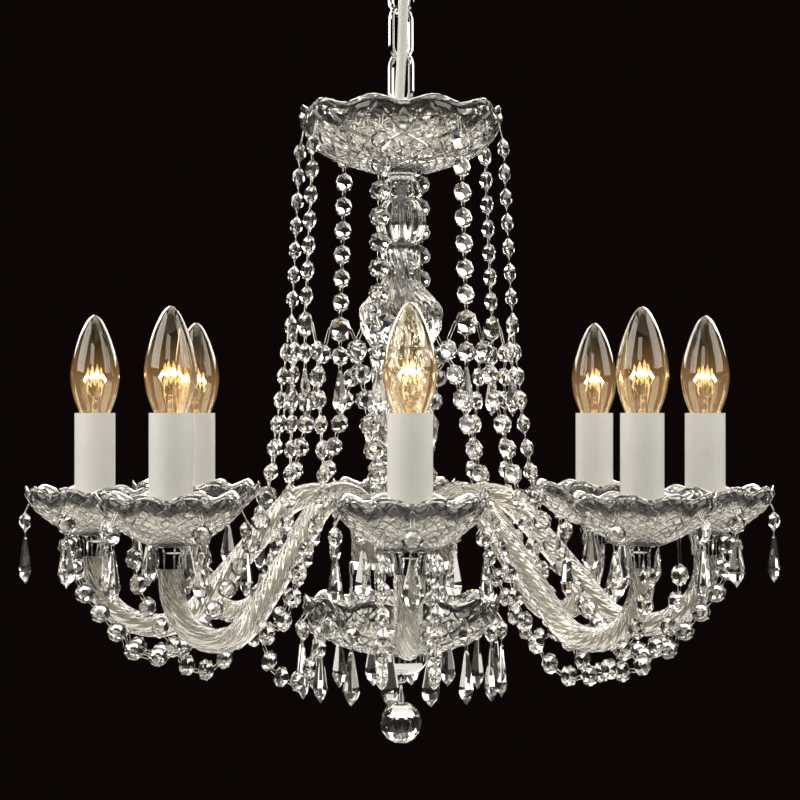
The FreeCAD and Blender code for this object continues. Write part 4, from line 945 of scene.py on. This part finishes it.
def arm_line(step_mm):
    """Points on the arm's centreline in the XZ plane: an arch at the hub and a bend under the dish."""
    start = Vector((27, 0, hub_top - 10))
    arch, arch_r = Vector((60, 0, hub_top + 23.5)), 33
    bend, bend_r = Vector((175, 0, hub_top + 6)), 43
    across = bend - arch
    slope = math.atan2(across.z, across.x) - math.asin((arch_r + bend_r) / across.length)
    points = [start, Vector((27, 0, arch.z))]

    def arc(centre, radius, begin, finish):
        steps = max(4, int(abs(finish - begin) * radius / step_mm))
        for step in range(1, steps + 1):
            angle = begin + (finish - begin) * step / steps
            points.append(centre + Vector((math.cos(angle), 0, math.sin(angle))) * radius)

    arc(arch, arch_r, math.pi, slope + math.pi / 2)
    arc(bend, bend_r, slope - math.pi / 2, 0)
    points.append(Vector((218, 0, arm_end)))
    return [point * MM for point in points]


arm_points = arm_line(3)
arm_length = sum((b - a).length for a, b in zip(arm_points, arm_points[1:]))
print("arm line", len(arm_points), "points,", round(arm_length, 3), "m")

# %% The tree for the arms
POINTS_PER_RIB = 4
arm_tree, arm_in, arm_out = new_tree("twisted_glass_arms", [
    ("Radius", "NodeSocketFloat", 0.0084), ("Groove", "NodeSocketFloat", 0.0014),
    ("Ribs", "NodeSocketInt", 12), ("Turns", "NodeSocketFloat", -2.8),
    ("Bore", "NodeSocketFloat", 0.0044), ("Step", "NodeSocketFloat", 0.003),
    ("Arms", "NodeSocketInt", 8), ("Material", "NodeSocketMaterial", None)])
arm = arm_in.outputs
line = add_node(arm_tree, "GeometryNodeMeshToCurve", {"Mesh": arm["Geometry"]})
even = add_node(arm_tree, "GeometryNodeResampleCurve",
                {"Curve": line.outputs["Curve"], "Length": arm["Step"]}, mode="LENGTH")
way = add_node(arm_tree, "GeometryNodeSplineParameter")
turns = calculate(arm_tree, "MULTIPLY", way.outputs["Factor"], arm["Turns"])
tilt = calculate(arm_tree, "MULTIPLY", turns, 2 * math.pi)
tilted = add_node(arm_tree, "GeometryNodeSetCurveTilt", {"Curve": even.outputs["Curve"], "Tilt": tilt})
corners = calculate(arm_tree, "MULTIPLY", arm["Ribs"], POINTS_PER_RIB)
circle = add_node(arm_tree, "GeometryNodeCurvePrimitiveCircle",
                  {"Resolution": corners, "Radius": arm["Radius"]})
point_index = add_node(arm_tree, "GeometryNodeInputIndex").outputs[0]
phase = calculate(arm_tree, "MULTIPLY", point_index, math.pi / POINTS_PER_RIB)
ridge = calculate(arm_tree, "ABSOLUTE", calculate(arm_tree, "COSINE", phase))
depth = calculate(arm_tree, "MULTIPLY", calculate(arm_tree, "SUBTRACT", 1.0, ridge), arm["Groove"])
shrink = calculate(arm_tree, "SUBTRACT", 1.0, calculate(arm_tree, "DIVIDE", depth, arm["Radius"]))
here = add_node(arm_tree, "GeometryNodeInputPosition")
pulled = add_node(arm_tree, "ShaderNodeVectorMath", {0: here.outputs[0], "Scale": shrink},
                  operation="SCALE")
section = add_node(arm_tree, "GeometryNodeSetPosition",
                   {"Geometry": circle.outputs["Curve"], "Position": pulled.outputs[0]})
skin = add_node(arm_tree, "GeometryNodeCurveToMesh", {
    "Curve": tilted.outputs["Curve"], "Profile Curve": section.outputs["Geometry"], "Fill Caps": True})
bore_circle = add_node(arm_tree, "GeometryNodeCurvePrimitiveCircle",
                       {"Resolution": 16, "Radius": arm["Bore"]})
bore = add_node(arm_tree, "GeometryNodeCurveToMesh", {
    "Curve": even.outputs["Curve"], "Profile Curve": bore_circle.outputs["Curve"], "Fill Caps": True})
inward = add_node(arm_tree, "GeometryNodeFlipFaces", {"Mesh": bore.outputs["Mesh"]})
joined = add_node(arm_tree, "GeometryNodeJoinGeometry")
arm_tree.links.new(skin.outputs["Mesh"], joined.inputs["Geometry"])
arm_tree.links.new(inward.outputs["Mesh"], joined.inputs["Geometry"])
spots = add_node(arm_tree, "GeometryNodeMeshLine", {"Count": arm["Arms"], "Offset": (0.0, 0.0, 0.0)})
full_turn = calculate(arm_tree, "DIVIDE", 2 * math.pi, arm["Arms"])
bearing = calculate(arm_tree, "MULTIPLY", point_index, full_turn)
spin = add_node(arm_tree, "ShaderNodeCombineXYZ", {"Z": bearing})
spin_rotation = add_node(arm_tree, "FunctionNodeEulerToRotation", {"Euler": spin.outputs[0]})
around = add_node(arm_tree, "GeometryNodeInstanceOnPoints", {
    "Points": spots.outputs["Mesh"], "Instance": joined.outputs["Geometry"],
    "Rotation": spin_rotation.outputs["Rotation"]})
real_arms = add_node(arm_tree, "GeometryNodeRealizeInstances",
                     {"Geometry": around.outputs["Instances"]})
smooth = add_node(arm_tree, "GeometryNodeSetShadeSmooth", {"Geometry": real_arms.outputs["Geometry"]})
dressed = add_node(arm_tree, "GeometryNodeSetMaterial", {
    "Geometry": smooth.outputs["Geometry"], "Material": arm["Material"]})
arm_tree.links.new(dressed.outputs["Geometry"], arm_out.inputs["Geometry"])

# %% Eight arms
arm_mesh = bpy.data.meshes.new("arm_line")
arm_mesh.from_pydata(arm_points, [(i, i + 1) for i in range(len(arm_points) - 1)], [])
arm_holder = add_object("arm_line", arm_mesh)
arms = run_tree(arm_holder, arm_tree, {"Arms": ARM_COUNT, "Material": drawn_glass}, "twisted_arms")
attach(arms, "chandelier")
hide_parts(*["arm_%d" % (index + 1) for index in range(ARM_COUNT)])
print("arms", len(arms.data.polygons), "faces")

# %% [markdown]
# ## Candle lamps
# A candle lamp is a thin clear envelope on a small screw cap. Inside, a glass stem carries two wires
# and a zigzag of glowing filament. Each part of the lamp is its own piece, so that the envelope can
# be clear and the filament can glow.

# %% Lamp materials
lamp_envelope = glass("clear_lamp_envelope", "#FDF6E6", 1.47, 14, 0.01, (0.0, 0.01))
lamp_stem_glass = glass("lamp_stem_glass", "#FFF3DC", 1.5, 6, 0.03, (0.02, 0.08))
filament_glow, filament_tree, filament_shader = new_material("glowing_tungsten", {
    "Base Color": linear("#FFE2B0"), "Roughness": 0.6, "Emission Color": linear("#FFD79A"),
    "Emission Strength": 60.0})
filament_place = add_node(filament_tree, "ShaderNodeTexCoord")
filament_noise = add_node(filament_tree, "ShaderNodeTexNoise", {
    "Vector": filament_place.outputs["Object"], "Scale": 1 / (2 * MM)})
filament_heat = add_node(filament_tree, "ShaderNodeMapRange", {
    "Value": filament_noise.outputs["Fac"], "To Min": 60.0, "To Max": 110.0})
filament_tree.links.new(filament_heat.outputs["Result"], filament_shader.inputs["Emission Strength"])
# Painted glow: the clear glass round the filament gets a weak warm emission by height, standing in for
# the filament's light in it, and it fades towards the tip.
envelope_tree = lamp_envelope.node_tree
envelope_shader = envelope_tree.nodes["Principled BSDF"]
envelope_shader.inputs["Emission Color"].default_value = linear("#FFC888")
envelope_place = add_node(envelope_tree, "ShaderNodeTexCoord")
envelope_height = add_node(envelope_tree, "ShaderNodeSeparateXYZ",
                           {"Vector": envelope_place.outputs["Object"]})
envelope_painted_glow = add_node(envelope_tree, "ShaderNodeMapRange", {
    "Value": envelope_height.outputs["Z"], "From Min": EYE + 0.06, "From Max": EYE + 0.01,
    "To Min": 0.0, "To Max": 0.06}, interpolation_type="SMOOTHSTEP")
envelope_tree.links.new(envelope_painted_glow.outputs["Result"], envelope_shader.inputs["Emission Strength"])
lamp_cap_metal = metal("stamped_lamp_cap", "#C9C2A8", 0.25, 2, 0.01)

# %% Lamp parts
WALL_MM = 0.7
THREADS, THREAD_RISE = 7, 2.8


def lathe(rows, sides, name, sharp=40):
    """A mesh turned from (radius, height) rows in millimetres; a radius of 0 is a tip."""
    rings = [level_ring(radius, height, sides if radius else 1) for radius, height in rows]
    return mesh_from(skin_rings(rings), name, True, sharp)


def bar(points, radius, sides=6):
    """A smooth wire through a row of points in millimetres."""
    places = [Vector(point) * MM for point in points]
    return mesh_from(skin_rings(tube_along(places, radius * MM, sides)), "bar", True)


def join_meshes(meshes, name):
    """One mesh from several meshes."""
    whole = bpy.data.meshes.new(name)
    together = bmesh.new()
    for mesh in meshes:
        together.from_mesh(mesh)
    together.to_mesh(whole)
    together.free()
    return whole


envelope_line = rounded_line([(8.6, -8.7), (9.0, -5), (11, 0), (15.4, 12), (17.4, 24), (17.2, 31),
                              (15.2, 42), (11, 55), (6.2, 65), (2.6, 69), (0.9, 69.8)], 4)
inner_line = [(max(r - WALL_MM, 0.2), max(h if h < 60 else h - 0.5, -7.9)) for r, h in envelope_line]
envelope_mesh = lathe([(0, -8.7)] + envelope_line + [(0, 70)], 48, "envelope")
hollow_mesh = lathe([(0, -7.9)] + inner_line + [(0, 69.2)], 48, "hollow")
hollow_mesh.flip_normals()
glass_mesh = join_meshes([envelope_mesh, hollow_mesh], "lamp_glass")
cap_rows = [(0, -32.3), (3.4, -32.3), (6.2, -30.5)]
for thread in range(THREADS):
    cap_rows += [(6.9, -29.5 + thread * THREAD_RISE), (6.3, -28.1 + thread * THREAD_RISE)]
cap_rows += [(6.9, -9.6), (6.9, -9.0), (0, -9.0)]
cap_mesh = lathe(cap_rows, 32, "lamp_cap", 30)
stem_rows = rounded_line([(3.6, -7.6), (3.4, -2), (2.4, 3), (2.2, 7), (1.6, 9), (2.6, 10.5),
                          (1.2, 12)], 3)
mount_mesh = lathe([(0, -7.6)] + stem_rows + [(0, 12.4)], 20, "lamp_mount")
wire_routes = [([(2.0, 0, 2), (2.4, 0, 10), (6, 0, 19), (7.5, 0, 23)], 0.3),
               ([(0, 0, 10), (1, 0.4, 20), (1.5, 0.4, 29)], 0.18)]
wire_mesh = join_meshes([bar([(side * x, y, z) for x, y, z in route], radius)
                         for route, radius in wire_routes for side in (-1, 1)], "lamp_wires")
filament_mesh = bar([(-7.5, 0, 23), (-5.2, 0.4, 27), (-3.4, 0.4, 24.5), (-1.5, 0.4, 29), (0, 0.3, 25),
                     (1.5, 0.4, 29), (3.4, 0.4, 24.5), (5.2, 0.4, 27), (7.5, 0, 23)], 1.0, 8)
lamp_parts = [("envelope", glass_mesh, lamp_envelope), ("cap", cap_mesh, lamp_cap_metal),
              ("mount", mount_mesh, lamp_stem_glass), ("wires", wire_mesh, nickel),
              ("filament", filament_mesh, filament_glow)]
for index in range(ARM_COUNT):
    low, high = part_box("bulb_%d" % (index + 1))
    axis = (Vector(low) + Vector(high)) / 2
    axis.z = EYE
    facing_turn = Matrix.Rotation(math.radians(10 * (3 * index % 5) - 20), 4, "Z")
    for part_name, mesh, material in lamp_parts:
        copy = mesh.copy()
        copy.transform(Matrix.Translation(axis) @ facing_turn)
        piece = add_object("lamp_%d_%s" % (index + 1, part_name), copy, material)
        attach(piece, "bulb_%d" % (index + 1))
        if part_name == "envelope":
            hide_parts("bulb_%d" % (index + 1))
print("lamps:", ARM_COUNT, "of", len(lamp_parts), "parts")

# %% [markdown]
# ## Studio
# Crystal shows only what is round it, so it is lit the way glass is photographed: a dark room, and
# large soft lamps at the sides, above and behind, which the facets pick up as bright shapes. The
# lamps stand higher than the object, all but a weak one low behind it, so that none is seen straight
# through a clear envelope. The floor is pale and lies well below, so its light comes up through the
# glass.

# %% Floor, world and lamps
FLOOR_DEPTH, FLOOR_RADIUS = -1.5, 1.7
AIM = Vector((0, 0, -0.4))
floor_bm = bmesh.new()
bmesh.ops.create_circle(floor_bm, cap_ends=True, segments=96, radius=FLOOR_RADIUS)
bmesh.ops.translate(floor_bm, verts=floor_bm.verts, vec=(0, 0, FLOOR_DEPTH))
floor_material = new_material("pale_studio_floor", {
    "Base Color": linear("#E6E4E0"), "Roughness": 0.7})[0]
floor = add_object("studio_floor", mesh_from(floor_bm, "studio_floor"), floor_material)

world = bpy.data.worlds.new("dark_studio")
world.use_nodes = True
bpy.context.scene.world = world
world_tree = world.node_tree
path = add_node(world_tree, "ShaderNodeLightPath")
bright = calculate(world_tree, "MAXIMUM", path.outputs["Is Camera Ray"], path.outputs["Is Glossy Ray"])
seen = calculate(world_tree, "MAXIMUM", bright, path.outputs["Is Transmission Ray"])
dark = add_node(world_tree, "ShaderNodeBackground", {"Color": linear("#0C0606"), "Strength": 1.0})
soft = add_node(world_tree, "ShaderNodeBackground", {"Color": linear("#FFFFFF"), "Strength": 0.22})
choice = add_node(world_tree, "ShaderNodeMixShader", {0: seen, 1: soft.outputs[0], 2: dark.outputs[0]})
world_tree.links.new(choice.outputs[0], world_tree.nodes["World Output"].inputs["Surface"])


def soft_lamp(name, place, width, height, watts):
    """A rectangular soft box that the camera doesn't see, turned to the middle of the object."""
    data = bpy.data.lights.new(name, "AREA")
    data.shape = "RECTANGLE"
    data.size = width
    data.size_y = height
    data.energy = watts
    data.color = linear("#FFFAF2")[:3]
    lamp = bpy.data.objects.new(name, data)
    lamp.location = place
    lamp.rotation_euler = (AIM - Vector(place)).to_track_quat("-Z", "Y").to_euler()
    lamp.visible_camera = False
    bpy.context.scene.collection.objects.link(lamp)


soft_lamp("left_box", (-1.75, -0.6, 0.75), 1.6, 1.7, 35)
soft_lamp("right_box", (1.75, -0.6, 0.75), 1.6, 1.7, 28)
soft_lamp("back_left_box", (-1.2, 1.5, 0.7), 1.2, 1.5, 23)
soft_lamp("back_right_box", (1.2, 1.5, 0.7), 1.2, 1.5, 23)
soft_lamp("top_box", (0, 0, 1.4), 1.8, 1.8, 18)
soft_lamp("camera_box", (-0.6, -2.3, 0.9), 0.9, 0.9, 8)
soft_lamp("low_back_box", (0, 1.6, -1.3), 2.0, 0.6, 7)
print("studio ready")

# %% Finish
bpy.context.scene.view_settings.view_transform = "Standard"
